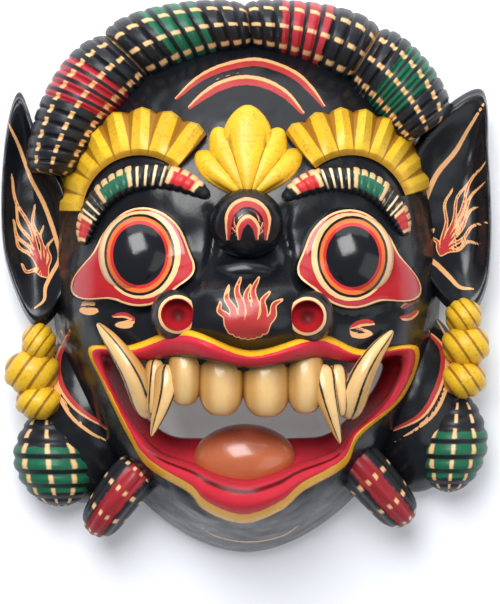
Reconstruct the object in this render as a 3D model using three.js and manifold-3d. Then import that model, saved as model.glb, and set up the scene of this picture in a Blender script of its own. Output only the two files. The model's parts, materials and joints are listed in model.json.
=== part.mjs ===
// A barong mask carved from one block of wood, lying on the flat rim of its hollow back with the face up.
// Frame, in millimetres: +X to the right of the face as it is looked at, +Y to the crown, +Z out of the face.
// The origin lies on the plane of the rim, under the middle of the mask's outline.
import * as THREE from "three";
import { ParametricGeometry } from "three/addons/geometries/ParametricGeometry.js";
import { mergeVertices } from "three/addons/utils/BufferGeometryUtils.js";
import Module from "manifold-3d";

const wasm = await Module();
wasm.setup();

const TURN = 2 * Math.PI;
const LEFT = -1;
const RIGHT = 1;

// The block: a blunt dome that stands on the rim's outline, hollowed from behind.
const HEAD = {
  y: -4, halfWidth: 73, halfHeight: 99, bluntness: 2.3, jawBluntness: 1.8, height: 58, sharpness: 3, roundness: 0.55,
};
const HEAD_GRID = { poleY: -12, around: 32, front: 9 };
const HOLLOW = { wall: 12, height: 43, around: 24, rows: 4 };
const BELOW_RIM = 30;

// Swellings of the face: centre, reach along x and y, rise, and how flat their tops are.
const NOSE = { x: -1, y: -12, reachX: 27, reachY: 14, rise: 21, flat: 3 };
const MUZZLE = { x: 2, y: -46, reachX: 48, reachY: 27, rise: 9, flat: 2 };
const CHIN = { x: 0, y: -82, reachX: 30, reachY: 16, rise: 14, flat: 2 };
const CHEEKS = [LEFT, RIGHT].map((side) => (
  { x: 1 + side * 53, y: -18, reachX: 17, reachY: 20, rise: 6, flat: 2 }));
const BROWS = [LEFT, RIGHT].map((side) => (
  { x: side * 38, y: 36, reachX: 24, reachY: 18, rise: 3, flat: 2 }));
const SWELLINGS = [NOSE, MUZZLE, CHIN, ...CHEEKS, ...BROWS];
const SWELLING_FADE = 0.14;

// The four hair rolls that run over the crown, between an inner and an outer outline.
const HAIR = {
  y: 10, innerX: 68, innerY: 74, outerX: 83, outerY: 92, outerBluntness: 2.8,
  middle: 0.42, reach: 0.58, z: 17, height: 26, slant: 0.05, groove: 0.06, endBluntness: 6,
};
const HAIR_ROLLS = [
  { from: 160, to: 122, strands: 12 },
  { from: 123.4, to: 88.8, strands: 9 },
  { from: 90.2, to: 56.8, strands: 9 },
  { from: 58.2, to: 32, strands: 9 },
];

// The ears: leaf outlines from the tip round the outer edge and back up the edge that meets the head.
const EAR_LEFT = [
  [-83, 66], [-88, 53], [-89.9, 26], [-87.5, 4], [-78, -16], [-68, -8], [-63, 12], [-67, 32], [-76, 48],
];
const EAR_RIGHT = [
  [86.5, 67], [89, 44], [90, 17], [88, -3], [81, -13], [70, -5], [61, 12], [59, 36], [69, 56],
];
const EAR = { rim: 25, dish: 8, thickness: 9, lean: 0.12 };

// The gold bands over the brows, each a fan of pleats about a centre.
const BAND = { inner: 20.5, outer: 37.5, rise: 5.6, pleat: 3, sunk: 4, pleats: 8, scallop: 0.7 };
const BANDS = [
  { x: -38.5, y: 22.5, from: 178, to: 47 },
  { x: 38, y: 22.5, from: 132, to: 18 },
];

// The gold flower between the bands: petals that fan out of one foot.
const FLOWER = { x: 0.6, y: 27, z: 54, thickness: 5.5 };
const PETALS = [
  { angle: 137, length: 25, half: 4.6, lift: 0 },
  { angle: 114, length: 28, half: 5.4, lift: 1 },
  { angle: 43, length: 26, half: 4.6, lift: 0 },
  { angle: 65, length: 28, half: 5.4, lift: 1 },
  { angle: 90, length: 33.5, half: 8.4, lift: 2.4 },
];

// The eyes: a lid whose outline draws out to two corners, the ball in it, and a combed brow that arches over.
const LID = {
  radius: 17.2, flatUpper: 1.5, outerCorner: 11.5, innerCorner: 3.2, lower: 1.2,
  flatAt: 140, outerAt: 207, innerAt: -17, lowerAt: -90, rise: 4.6, sunk: 6,
};
const EYEBALL = { halfX: 15, halfY: 16, halfZ: 12, sunk: 1.5 };
const EYEBROW = { outerRadius: 21.8, innerRadius: 31.5, from: 160, to: 39, half: 4.9, rise: 6.2, combs: 7, comb: 0.12 };
const EYES = [
  { side: LEFT, x: -37.3, y: 7.5 },
  { side: RIGHT, x: 37.4, y: 6.8 },
];

// The ball between the brows, the wrinkle under it, and the nostrils.
const BROW_BALL = { x: 0.4, y: 18.4, z: 60, halfX: 13, halfY: 12.4, halfZ: 11.5 };
const WRINKLE = { x: 0, y: 2.5, half: 13, radius: 3.4, sunk: 0.8, bow: 3 };
const NOSTRIL = { wing: 9.6, wingZ: 11, hole: 5.6, holeDepth: 7, sunk: 4 };
const NOSTRILS = [{ x: -23.6, y: -13.4 }, { x: 21.2, y: -14 }];

// The mouth: the outline of the lips and the opening behind them, point for point.
const LIP_OUTLINE = [
  [-56, -25.5], [-41, -24.5], [-21, -18.8], [1.5, -26], [25, -20.6], [41, -26], [62, -25.5],
  [57.5, -43], [41, -57], [35.5, -68], [20.5, -76], [12.5, -82.5], [-1, -87], [-14.5, -82.5], [-20.5, -76.5],
  [-35, -68.5], [-42.5, -57], [-51.5, -38],
];
const MOUTH_HOLE = [
  [-45, -31], [-33, -35], [-17, -36.5], [1.5, -37.5], [20, -36.5], [36, -35], [49.5, -31.5],
  [46, -42], [36, -52.5], [28, -57.6], [16, -58.3], [8, -58.5], [0, -58.6], [-8, -58.5], [-16, -58.3],
  [-27, -57.6], [-36, -51.5], [-43.5, -40],
];
const MOUTH = { x: 2, y: -46, around: 28 };
const LIP = {
  root: -6, edge: 1.2, crest: 4.6, crestAt: 0.26, innerAt: 0.5, inner: 0.6, floorAt: 0.8, floor: 0.62, throat: 4,
};

// In the mouth: four incisors, a fang and a side tooth at each end, two tusks, and the tongue.
const INCISORS = [
  { x: -21.4, y: -34, halfX: 6, halfY: 11.6 },
  { x: -8.7, y: -36.5, halfX: 8.2, halfY: 12.6 },
  { x: 7.2, y: -36.8, halfX: 8.6, halfY: 12.8 },
  { x: 20.8, y: -35.8, halfX: 6.8, halfY: 12.6 },
];
const INCISOR = { z: 60, halfZ: 7.5, bluntness: 2.6 };
const FANGS = [
  [[-27, -31, 60], [-28.6, -42, 63], [-33.2, -56.4, 61]],
  [[26, -31, 60], [28.4, -43, 63], [33.2, -59, 61]],
];
const FANG = { half: 5, tip: 0.18, flat: 0.8 };
const SIDE_TEETH = [
  [[-31.5, -29, 57], [-32.6, -39, 59], [-33.6, -48.6, 58]],
  [[31.5, -31, 57], [32.6, -40, 59], [33.6, -49.4, 58]],
];
const SIDE_TOOTH = { half: 3.8, tip: 0.5, flat: 1 };
const TUSKS = [
  [[-34, -50, 52], [-38.6, -36, 60], [-45, -25.6, 60], [-52.6, -16.4, 55]],
  [[36, -50.4, 52], [40, -37, 60], [45, -27.6, 60], [52, -19, 55]],
];
const TUSK = { half: 5.1, tip: 0.3, flat: 0.9 };
const TONGUE = { x: -0.4, y: -65, z: 45, halfX: 18.4, halfY: 12.4, halfZ: 12, bluntness: 1.95 };

// The hair masses and the gold drops under the ears.
const TEMPLES = [
  { x: -60, y: -52, z: 8, halfX: 20, halfY: 32, halfZ: 19 },
  { x: 63, y: -46, z: 8, halfX: 20, halfY: 34, halfZ: 19 },
];
const EAR_DROP = { z: 22, halfZ: 10 };
const EAR_DROPS = [
  { x: -76, y: -24.2, halfX: 6.6, halfY: 7.5 },
  { x: -78.6, y: -34.7, halfX: 10.6, halfY: 8.8 },
  { x: -76, y: -45.6, halfX: 9, halfY: 6.8 },
  { x: 79.8, y: -14.5, halfX: 7, halfY: 7 },
  { x: 80.6, y: -25, halfX: 9.2, halfY: 8.2 },
  { x: 80, y: -37.4, halfX: 8.6, halfY: 7.2 },
];
const BUN = { z: 15, halfZ: 15, grooves: 5, groove: 0.08, neck: 0.22 };
const BUNS = [
  { x: -70.8, y: -66.5, halfX: 15.6, halfY: 18.2, slope: -0.12 },
  { x: 76.6, y: -61, halfX: 13, halfY: 18.4, slope: 0.1 },
];
const SIDE_LOCK = { tip: 0.8, flat: 1.25, ridges: 3, ridge: 0.1 };
const SIDE_LOCKS = [
  { path: [[-37, -68, 25], [-47, -80, 25], [-56, -93, 17]], half: 9 },
  { path: [[36.5, -63, 25], [48, -76, 25], [59, -89, 17]], half: 9.6 },
];

const LACQUER = { color: 0x2b2c30, roughness: 0.32, metalness: 0 };

// Formulas

const radians = (angle) => (angle * Math.PI) / 180;
const mix = (a, b, share) => a + (b - a) * share;
const signedPower = (value, n) => Math.sign(value) * Math.abs(value) ** n;
const bell = (x, width) => Math.exp(-((x / width) ** 2));
const angleBetween = (a, b) => ((((a - b) % 360) + 540) % 360) - 180;

// How far out a point lies on a blunt ellipse's own scale: 1 is on its outline.
function bluntRadius(x, y, halfX, halfY, bluntness) {
  return (Math.abs(x / halfX) ** bluntness + Math.abs(y / halfY) ** bluntness) ** (1 / bluntness);
}

// The point of a blunt ellipse's outline at a share of a turn.
function bluntPoint(turn, halfX, halfY, bluntness) {
  const x = halfX * signedPower(Math.cos(turn * TURN), 2 / bluntness);
  const y = halfY * signedPower(Math.sin(turn * TURN), 2 / bluntness);
  return [x, y];
}

// The head's outline is blunt above its middle and draws in to the jaw below it.
const headBluntness = (y) => (y < 0 ? HEAD.jawBluntness : HEAD.bluntness);

function headRadius(x, y, halfX, halfY) {
  return bluntRadius(x, y - HEAD.y, halfX, halfY, headBluntness(y - HEAD.y));
}

function headPoint(turn, halfX, halfY) {
  return bluntPoint(turn, halfX, halfY, headBluntness(Math.sin(turn * TURN)));
}

function dome(r, height) {
  return height * Math.max(0, 1 - r ** HEAD.sharpness) ** HEAD.roundness;
}

// The front of the block: the dome, and the swellings that fade out towards the rim.
function faceHeight(x, y) {
  const r = headRadius(x, y, HEAD.halfWidth, HEAD.halfHeight);
  const fade = Math.min(1, Math.max(0, 1 - r) / SWELLING_FADE);
  const rise = SWELLINGS.reduce((sum, s) => {
    const away = Math.abs((x - s.x) / s.reachX) ** s.flat + Math.abs((y - s.y) / s.reachY) ** s.flat;
    return sum + s.rise * Math.exp(-away);
  }, 0);
  return dome(r, HEAD.height) + fade * rise;
}

// The roof of the hollow behind the face.
function hollowHeight(x, y) {
  const halfX = HEAD.halfWidth - HOLLOW.wall;
  const halfY = HEAD.halfHeight - HOLLOW.wall;
  return dome(Math.min(1, headRadius(x, y, halfX, halfY)), HOLLOW.height);
}

function curveThrough(points, closed) {
  const vectors = points.map(([x, y, z = 0]) => new THREE.Vector3(x, y, z));
  return new THREE.CatmullRomCurve3(vectors, closed, "catmullrom", 0.5);
}

// Solids

// A closed geometry as a solid that joins and cuts, turned so that its faces point out.
function solidOf(geometry) {
  geometry.deleteAttribute("normal");
  geometry.deleteAttribute("uv");
  const merged = mergeVertices(geometry, 1e-4);
  const faces = [];
  for (let i = 0; i < merged.index.count; i += 3) {
    const [a, b, c] = merged.index.array.subarray(i, i + 3);
    if (a !== b && b !== c && c !== a) faces.push([a, b, c]);
  }
  const make = (list) => new wasm.Manifold(new wasm.Mesh({
    numProp: 3,
    vertProperties: merged.attributes.position.array,
    triVerts: new Uint32Array(list.flat()),
  }));
  const made = make(faces);
  return made.volume() > 0 ? made : make(faces.map(([a, b, c]) => [a, c, b]));
}

// A solid from a surface over u and v whose seams and poles meet.
function surfaceSolid(surface, around, along) {
  return solidOf(new ParametricGeometry((u, v, target) => target.set(...surface(u, v)), around, along));
}

// A round form with its poles along z, its width changed by a factor of u and v.
function roundForm({ x, y, z, halfX, halfY, halfZ, bluntness = 2 }, around, along, factor = () => 1) {
  return surfaceSolid((u, v) => {
    const [sideways, upwards] = bluntPoint(u, halfX, halfY, bluntness);
    const swing = Math.sin(v * Math.PI) * factor(u, v);
    return [x + sideways * swing, y + upwards * swing, z - halfZ * Math.cos(v * Math.PI)];
  }, around, along);
}

// A horn along a curve: round, closed at both ends, thinning to its tip, its width changed by a factor of u.
function horn(path, half, tip, flat, around, along, factor = () => 1) {
  const curve = curveThrough(path, false);
  return surfaceSolid((u, v) => {
    const heading = curve.getTangent(v);
    const across = new THREE.Vector3(heading.y, -heading.x, 0).normalize();
    const out = new THREE.Vector3().crossVectors(across, heading).normalize();
    const share = Math.min(1, Math.max(0, (v * along - 1) / (along - 2)));
    const radius = v === 0 || v === 1 ? 0 : half * mix(1, tip, share ** 1.6) * factor(u);
    return curve.getPoint(v)
      .addScaledVector(across, radius * Math.cos(u * TURN))
      .addScaledVector(out, radius * flat * Math.sin(u * TURN))
      .toArray();
  }, around, along);
}

// The block before it is hollowed: the face drawn from its middle out to the rim, and a flat underside.
function block() {
  const rows = HEAD_GRID.front + 1;
  return surfaceSolid((u, v) => {
    const row = Math.round(v * rows);
    if (row === rows) return [0, HEAD_GRID.poleY, 0];
    const [edgeX, edgeY] = headPoint(u, HEAD.halfWidth, HEAD.halfHeight);
    const share = 1 - (1 - row / HEAD_GRID.front) ** 1.5;
    const x = edgeX * share;
    const y = mix(HEAD_GRID.poleY, HEAD.y + edgeY, share);
    return [x, y, row === HEAD_GRID.front ? 0 : faceHeight(x, y)];
  }, HEAD_GRID.around, rows);
}

// What is carved out behind the face.
function hollow() {
  const rows = HOLLOW.rows + 2;
  return surfaceSolid((u, v) => {
    const row = Math.round(v * rows);
    if (row === rows) return [0, HEAD_GRID.poleY, -BELOW_RIM];
    const halfX = HEAD.halfWidth - HOLLOW.wall;
    const halfY = HEAD.halfHeight - HOLLOW.wall;
    const [edgeX, edgeY] = headPoint(u, halfX, halfY);
    const share = 1 - (1 - Math.min(1, row / HOLLOW.rows)) ** 1.5;
    const x = edgeX * share;
    const y = mix(HEAD_GRID.poleY, HEAD.y + edgeY, share);
    if (row > HOLLOW.rows) return [x, y, -BELOW_RIM];
    return [x, y, row === HOLLOW.rows ? 0 : hollowHeight(x, y)];
  }, HOLLOW.around, rows);
}

// Everything below the plane of the rim.
function underRim() {
  const box = new THREE.BoxGeometry(4 * HEAD.halfHeight, 4 * HEAD.halfHeight, BELOW_RIM);
  return solidOf(box.translate(0, 0, -BELOW_RIM / 2));
}

// A hair roll: a blunt section carried along the crown, one groove and one crest to each strand.
function hairRoll({ from, to, strands }) {
  const columns = 2 * strands;
  return surfaceSolid((u, v) => {
    const end = Math.max(0, 1 - Math.abs(2 * v - 1) ** HAIR.endBluntness) ** (1 / HAIR.endBluntness);
    const carved = Math.round(v * columns) % 2 === 0 ? 1 - HAIR.groove : 1;
    const radial = HAIR.middle + HAIR.reach * end * carved * Math.cos(u * TURN);
    const angle = radians(mix(from, to, v)) + HAIR.slant * (radial - 0.5) * end;
    const [c, s] = [Math.cos(angle), Math.sin(angle)];
    const reach = 1 / bluntRadius(c, s, HAIR.outerX, HAIR.outerY, HAIR.outerBluntness);
    const x = mix(HAIR.innerX * c, reach * c, radial);
    const y = mix(HAIR.innerY * s, reach * s, radial);
    return [x, HAIR.y + y, HAIR.z + HAIR.height * end * carved * signedPower(Math.sin(u * TURN), 0.8)];
  }, 8, columns);
}

// A leaf: an outline drawn in to its middle, row by row of [share of the way out, height].
function leaf(pointAt, middle, heightAt, rows, around) {
  return surfaceSolid((u, v) => {
    const [share, lift] = rows[Math.round(v * (rows.length - 1))];
    const [edgeX, edgeY] = pointAt(u);
    const x = mix(middle[0], edgeX, share);
    const y = mix(middle[1], edgeY, share);
    return [x, y, heightAt(x, y) + lift];
  }, around, rows.length - 1);
}

// An ear: dished in front, plain behind, leaning back to its outer edge.
function ear(outline, side) {
  const curve = curveThrough(outline, true);
  const middle = [0, 1].map((axis) => outline.reduce((sum, p) => sum + p[axis], 0) / outline.length);
  const rows = [
    [0, -EAR.dish], [0.55, -EAR.dish * 0.75], [0.92, 0], [1, -2], [0.97, -EAR.thickness],
    [0, -EAR.thickness - EAR.dish],
  ];
  const pointAt = (u) => curve.getPoint(u % 1).toArray();
  return leaf(pointAt, middle, (x) => EAR.rim - EAR.lean * (side * x - 66), rows, 18);
}

// An eyelid: a thick cushion round the ball, its outline a circle that is flatter above with two corners.
function eyelid({ side, x, y }) {
  const pointAt = (u) => {
    const angle = u * 360;
    const radius = LID.radius
      - LID.flatUpper * bell(angleBetween(angle, LID.flatAt), 36)
      + LID.outerCorner * bell(angleBetween(angle, LID.outerAt), 19)
      + LID.innerCorner * bell(angleBetween(angle, LID.innerAt), 17)
      + LID.lower * bell(angleBetween(angle, LID.lowerAt), 50);
    return [x - side * radius * Math.cos(u * TURN), y + radius * Math.sin(u * TURN)];
  };
  const rows = [[0, LID.rise], [0.88, LID.rise], [1, LID.rise * 0.3], [0.97, -LID.sunk], [0, -LID.sunk]];
  return leaf(pointAt, [x, y], faceHeight, rows, 18);
}

function eyeball({ x, y }) {
  return roundForm({ ...EYEBALL, x, y, z: faceHeight(x, y) - EYEBALL.sunk }, 16, 10);
}

// An eyebrow: a half-round ridge that leaves the eye as it runs to the nose, notched by the comb.
function eyebrow({ side, x, y }) {
  const columns = 2 * EYEBROW.combs;
  return surfaceSolid((u, v) => {
    const angle = radians(mix(EYEBROW.from, EYEBROW.to, v));
    const notch = Math.round(v * columns) % 2 === 0 ? 1 - EYEBROW.comb : 1;
    const thick = notch * Math.max(0, 1 - Math.abs(2 * v - 1) ** 3.5) ** 0.5;
    const middle = mix(EYEBROW.outerRadius, EYEBROW.innerRadius, v);
    const radius = middle + EYEBROW.half * thick * Math.cos(u * TURN);
    const px = x - side * radius * Math.cos(angle);
    const py = y + radius * Math.sin(angle);
    return [px, py, faceHeight(px, py) + EYEBROW.rise * thick * Math.sin(u * TURN)];
  }, 6, columns);
}

// A gold band: a section carried about a centre, each pleat folded once up and once down.
function goldBand({ x, y, from, to }) {
  const columns = 2 * BAND.pleats;
  const section = [
    [0.5, -BAND.sunk], [0, -BAND.sunk], [0, 1.5], [0.12, 4], [0.55, BAND.rise], [0.94, BAND.rise],
    [1, 2.5], [1, -BAND.sunk],
  ];
  return surfaceSolid((u, v) => {
    const closing = v === 0 || v === 1;
    const [share, lift] = closing ? [0.5, 0] : section[Math.round(u * section.length) % section.length];
    const fold = Math.round(v * columns) % 2 === 0 ? -1 : 1;
    const angle = radians(mix(from, to, v));
    const radius = mix(BAND.inner, BAND.outer + fold * BAND.scallop, share);
    const px = x + radius * Math.cos(angle);
    const py = y + radius * Math.sin(angle);
    const pleat = lift > 2 ? fold * BAND.pleat * share : 0;
    return [px, py, faceHeight(px, py) + lift + pleat];
  }, section.length, columns);
}

// A petal: a rounded leaf that grows out of the flower's foot, widest near its tip.
function petal({ angle, length, half, lift }) {
  const [c, s] = [Math.cos(radians(angle)), Math.sin(radians(angle))];
  return surfaceSolid((u, v) => {
    const closing = v === 0 || v === 1;
    const side = closing ? 0 : (0.5 + half * Math.sin(Math.PI * v ** 1.5) ** 0.62) * Math.cos(u * TURN);
    const thick = closing ? 0 : FLOWER.thickness * Math.sin(Math.PI * mix(0.16, 1, v)) ** 0.5;
    const px = FLOWER.x + c * length * v - s * side;
    const py = FLOWER.y + s * length * v + c * side;
    return [px, py, Math.max(FLOWER.z, faceHeight(px, py)) - 1 + lift + thick * Math.sin(u * TURN)];
  }, 8, 7);
}

function wrinkle() {
  const z = faceHeight(WRINKLE.x, WRINKLE.y) - WRINKLE.sunk;
  const path = [LEFT, 0, RIGHT].map((k) => (
    [WRINKLE.x + k * WRINKLE.half, WRINKLE.y - Math.abs(k) * WRINKLE.bow, z - Math.abs(k) * WRINKLE.bow]));
  return horn(path, WRINKLE.radius, 0.8, 1, 8, 7);
}

function nostrilWing({ x, y }) {
  const z = faceHeight(x, y) - NOSTRIL.sunk;
  return roundForm({ x, y, z, halfX: NOSTRIL.wing, halfY: NOSTRIL.wing, halfZ: NOSTRIL.wingZ }, 10, 7);
}

function nostrilHole({ x, y }) {
  const z = faceHeight(x, y) - NOSTRIL.sunk + NOSTRIL.wingZ;
  return roundForm({ x, y, z, halfX: NOSTRIL.hole, halfY: NOSTRIL.hole, halfZ: NOSTRIL.holeDepth }, 10, 6);
}

// The points of the lips' outline and of the opening that lie at a share of the way round.
function mouthEdges(u) {
  const outer = curveThrough(LIP_OUTLINE, true).getPoint(u % 1);
  const inner = curveThrough(MOUTH_HOLE, true).getPoint(u % 1);
  return [outer, inner];
}

// The lips: a rolled edge carried round the mouth, sunk into the face and nowhere below it.
function lips() {
  return surfaceSolid((u, v) => {
    const [outer, inner] = mouthEdges(u);
    const face = faceHeight(outer.x, outer.y);
    const rows = [
      [0, LIP.root], [0, LIP.edge], [0.45 * LIP.crestAt, 0.85 * LIP.crest], [LIP.crestAt, LIP.crest],
      [LIP.innerAt, LIP.inner], [LIP.innerAt, LIP.root],
    ];
    const [share, lift] = rows[Math.round(v * rows.length) % rows.length];
    const x = mix(outer.x, inner.x, share);
    const y = mix(outer.y, inner.y, share);
    const above = lift > 0 ? Math.max(0, faceHeight(x, y) - face) : 0;
    return [x, y, face + above + lift];
  }, MOUTH.around, 6);
}

// What is cut out for the mouth: it narrows from the lips' inner edge to the opening, and on into the hollow.
function throat() {
  return surfaceSolid((u, v) => {
    const [outer, inner] = mouthEdges(u);
    const face = faceHeight(outer.x, outer.y);
    const back = hollowHeight(inner.x, inner.y) + LIP.throat;
    const rows = [
      [null, HEAD.height + 2 * NOSE.rise], [LIP.innerAt, HEAD.height + 2 * NOSE.rise],
      [LIP.innerAt, face + LIP.inner], [LIP.floorAt, mix(face, back, LIP.floor)], [1, back],
      [1, -BELOW_RIM], [null, -BELOW_RIM],
    ];
    const [share, z] = rows[Math.round(v * (rows.length - 1))];
    if (share === null) return [MOUTH.x, MOUTH.y, z];
    return [mix(outer.x, inner.x, share), mix(outer.y, inner.y, share), z];
  }, MOUTH.around, 6);
}

// A hair bun: round below, drawn in to a neck above, with grooves across it.
function bun({ x, y, halfX, halfY, slope }) {
  const rings = 2 * BUN.grooves;
  return surfaceSolid((u, v) => {
    const up = -Math.cos(v * Math.PI);
    const notch = Math.round(v * rings) % 2 === 0 ? 1 - BUN.groove : 1;
    const swing = Math.sin(v * Math.PI) * notch * (1 - BUN.neck * Math.max(0, up));
    const px = x + slope * halfY * up + halfX * swing * Math.cos(u * TURN);
    return [px, y + halfY * up, BUN.z + BUN.halfZ * swing * Math.sin(u * TURN)];
  }, 10, rings);
}

function sideLock({ path, half }) {
  return horn(path, half, SIDE_LOCK.tip, SIDE_LOCK.flat, 12, 8, (u) => (
    1 - SIDE_LOCK.ridge * Math.abs(Math.cos(u * TURN * SIDE_LOCK.ridges))));
}

// The mask

const join = (whole, piece) => whole.add(piece);
const cut = (whole, piece) => whole.subtract(piece);

function carveMask() {
  const carved = [
    ...HAIR_ROLLS.map(hairRoll),
    ear(EAR_LEFT, LEFT),
    ear(EAR_RIGHT, RIGHT),
    ...TEMPLES.map((form) => roundForm(form, 8, 6)),
    ...EAR_DROPS.map((lobe) => roundForm({ ...EAR_DROP, ...lobe }, 8, 5)),
    ...BUNS.map(bun),
    ...SIDE_LOCKS.map(sideLock),
    ...EYES.map(eyelid),
    ...EYES.map(eyeball),
    ...EYES.map(eyebrow),
    ...BANDS.map(goldBand),
    ...PETALS.map(petal),
    roundForm(BROW_BALL, 12, 8),
    wrinkle(),
    ...NOSTRILS.map(nostrilWing),
  ];
  const mouth = [
    lips(),
    ...INCISORS.map((tooth) => roundForm({ ...INCISOR, ...tooth }, 8, 6)),
    ...FANGS.map((path) => horn(path, FANG.half, FANG.tip, FANG.flat, 8, 5)),
    ...SIDE_TEETH.map((path) => horn(path, SIDE_TOOTH.half, SIDE_TOOTH.tip, SIDE_TOOTH.flat, 6, 4)),
    ...TUSKS.map((path) => horn(path, TUSK.half, TUSK.tip, TUSK.flat, 8, 6)),
    roundForm(TONGUE, 14, 7),
  ];
  const opened = [underRim(), hollow(), throat()].reduce(cut, carved.reduce(join, block()));
  return NOSTRILS.map(nostrilHole).reduce(cut, mouth.reduce(join, opened));
}

function geometryOf(made) {
  const { vertProperties, triVerts } = made.getMesh();
  const geometry = new THREE.BufferGeometry();
  geometry.setAttribute("position", new THREE.BufferAttribute(vertProperties, 3));
  geometry.setIndex(new THREE.BufferAttribute(triVerts, 1));
  geometry.computeVertexNormals();
  return geometry;
}

const mask = new THREE.Mesh(geometryOf(carveMask()), new THREE.MeshStandardMaterial(LACQUER));
mask.name = "mask";

const barong = new THREE.Group();
barong.add(mask);

export default barong;
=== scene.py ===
"""A barong mask carved from one block of wood, painted and lacquered, lying face up on the
rim of its hollow back.

Sizes are in millimetres in the CAD frame: +X to the right of the face as it is looked at, +Y to the crown and
+Z out of the face. Meshes are made in metres.
"""
import json

import bpy
import numpy as np
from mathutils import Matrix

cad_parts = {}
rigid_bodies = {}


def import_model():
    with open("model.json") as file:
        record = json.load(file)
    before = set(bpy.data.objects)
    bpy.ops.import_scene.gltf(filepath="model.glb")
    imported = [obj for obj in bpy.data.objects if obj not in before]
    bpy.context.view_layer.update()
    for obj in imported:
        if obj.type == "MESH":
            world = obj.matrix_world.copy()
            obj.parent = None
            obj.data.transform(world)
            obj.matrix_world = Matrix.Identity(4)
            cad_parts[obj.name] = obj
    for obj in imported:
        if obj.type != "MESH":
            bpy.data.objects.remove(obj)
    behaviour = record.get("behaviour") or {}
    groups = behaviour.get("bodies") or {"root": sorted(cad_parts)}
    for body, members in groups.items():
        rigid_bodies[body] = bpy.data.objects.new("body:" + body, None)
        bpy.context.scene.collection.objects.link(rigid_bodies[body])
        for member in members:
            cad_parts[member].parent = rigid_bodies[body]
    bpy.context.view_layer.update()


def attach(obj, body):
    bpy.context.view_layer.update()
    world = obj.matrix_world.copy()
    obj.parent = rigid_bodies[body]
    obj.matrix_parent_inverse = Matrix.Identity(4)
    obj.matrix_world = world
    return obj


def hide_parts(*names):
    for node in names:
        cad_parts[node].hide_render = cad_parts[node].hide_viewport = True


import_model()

MM = 0.001
TURN = 2 * np.pi
LEFT = -1
RIGHT = 1
NO_PAINT = 99.0


def table(names, values):
    """Named sizes for several forms alike, a row each."""
    return [dict(zip(names.split(), row)) for row in values]


# The photograph's frame and the camera that looks straight down on the mask.
PHOTO = {"width": 500, "height": 604}
CAMERA = {"x": 1.45, "y": -9.1, "height": 900.0, "field": 227.2}

# The block: a blunt dome that stands on the rim's outline, hollowed from behind.
HEAD = {"y": -4, "half_width": 73, "half_height": 99, "bluntness": 2.3, "jaw_bluntness": 1.8, "height": 58,
        "sharpness": 3, "roundness": 0.55, "pole_y": -12}
HOLLOW = {"wall": 12, "height": 43}
BELOW_RIM = 30

# Swellings of the face: centre, reach along x and y, rise, and how flat their tops are.
NOSE = {"x": -1, "y": -12, "reach_x": 27, "reach_y": 14, "rise": 21, "flat": 3}
MUZZLE = {"x": 2, "y": -46, "reach_x": 48, "reach_y": 27, "rise": 9, "flat": 2}
CHIN = {"x": 0, "y": -82, "reach_x": 30, "reach_y": 16, "rise": 14, "flat": 2}
CHEEKS = [{"x": 1 + side * 53, "y": -18, "reach_x": 17, "reach_y": 20, "rise": 6, "flat": 2}
          for side in (LEFT, RIGHT)]
BROWS = [{"x": side * 38, "y": 36, "reach_x": 24, "reach_y": 18, "rise": 3, "flat": 2}
         for side in (LEFT, RIGHT)]
SWELLINGS = [NOSE, MUZZLE, CHIN, *CHEEKS, *BROWS]
SWELLING_FADE = 0.14

# The four hair rolls over the crown, with the strand that the coloured patch is centred on.
HAIR = {"y": 10, "inner_x": 68, "inner_y": 74, "outer_x": 83, "outer_y": 92, "outer_bluntness": 2.8,
        "middle": 0.42, "reach": 0.58, "z": 17, "height": 26, "slant": 0.05, "groove": 0.05,
        "end_bluntness": 6}
HAIR_ROLLS = table("from to strands patch_at paint", [
    (160, 122, 12, 7.5, "red"),
    (123.4, 88.8, 9, 4.2, "green"),
    (90.2, 56.8, 9, 4.2, "red"),
    (58.2, 32, 9, 4.4, "green"),
])

# The ears: leaf outlines from the tip round the outer edge and back up the edge that meets the head.
EAR_LEFT = [[-83, 66], [-88, 53], [-89.9, 26], [-87.5, 4], [-78, -16], [-68, -8], [-63, 12], [-67, 32],
            [-76, 48]]
EAR_RIGHT = [[86.5, 67], [89, 44], [90, 17], [88, -3], [81, -13], [70, -5], [61, 12], [59, 36], [69, 56]]
EAR = {"rim": 25, "dish": 8, "thickness": 9, "lean": 0.12}

# The gold bands over the brows and the flower between them.
BAND = {"inner": 20.5, "outer": 37.5, "rise": 5.6, "pleat": 3, "sunk": 4, "pleats": 8, "scallop": 0.7}
BANDS = [{"x": -38.5, "y": 22.5, "from": 178, "to": 47}, {"x": 38, "y": 22.5, "from": 132, "to": 18}]
FLOWER = {"x": 0.6, "y": 27, "z": 54, "thickness": 5.5}
PETALS = table("angle length half lift", [
    (137, 25, 4.6, 0),
    (114, 28, 5.4, 1),
    (43, 26, 4.6, 0),
    (65, 28, 5.4, 1),
    (90, 33.5, 8.4, 2.4),
])

# The eyes: lid, ball and combed brow, and the rings painted round the pupil.
LID = {"radius": 17.2, "flat_upper": 1.5, "outer_corner": 11.5, "inner_corner": 3.2, "lower": 1.2,
       "flat_at": 140, "outer_at": 207, "inner_at": -17, "lower_at": -90, "rise": 4.6, "sunk": 6}
EYEBALL = {"half_x": 15, "half_y": 16, "half_z": 12, "sunk": 1.5}
EYEBROW = {"outer_radius": 21.8, "inner_radius": 31.5, "to": 39, "half": 4.9, "rise": 6.2, "combs": 21,
           "comb": 0.09}
EYES = [{"side": LEFT, "x": -37.3, "y": 7.5, "brow_from": 170},
        {"side": RIGHT, "x": 37.4, "y": 6.8, "brow_from": 159}]
PUPIL = {"half_x": 10.2, "half_y": 11.8}

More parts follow.
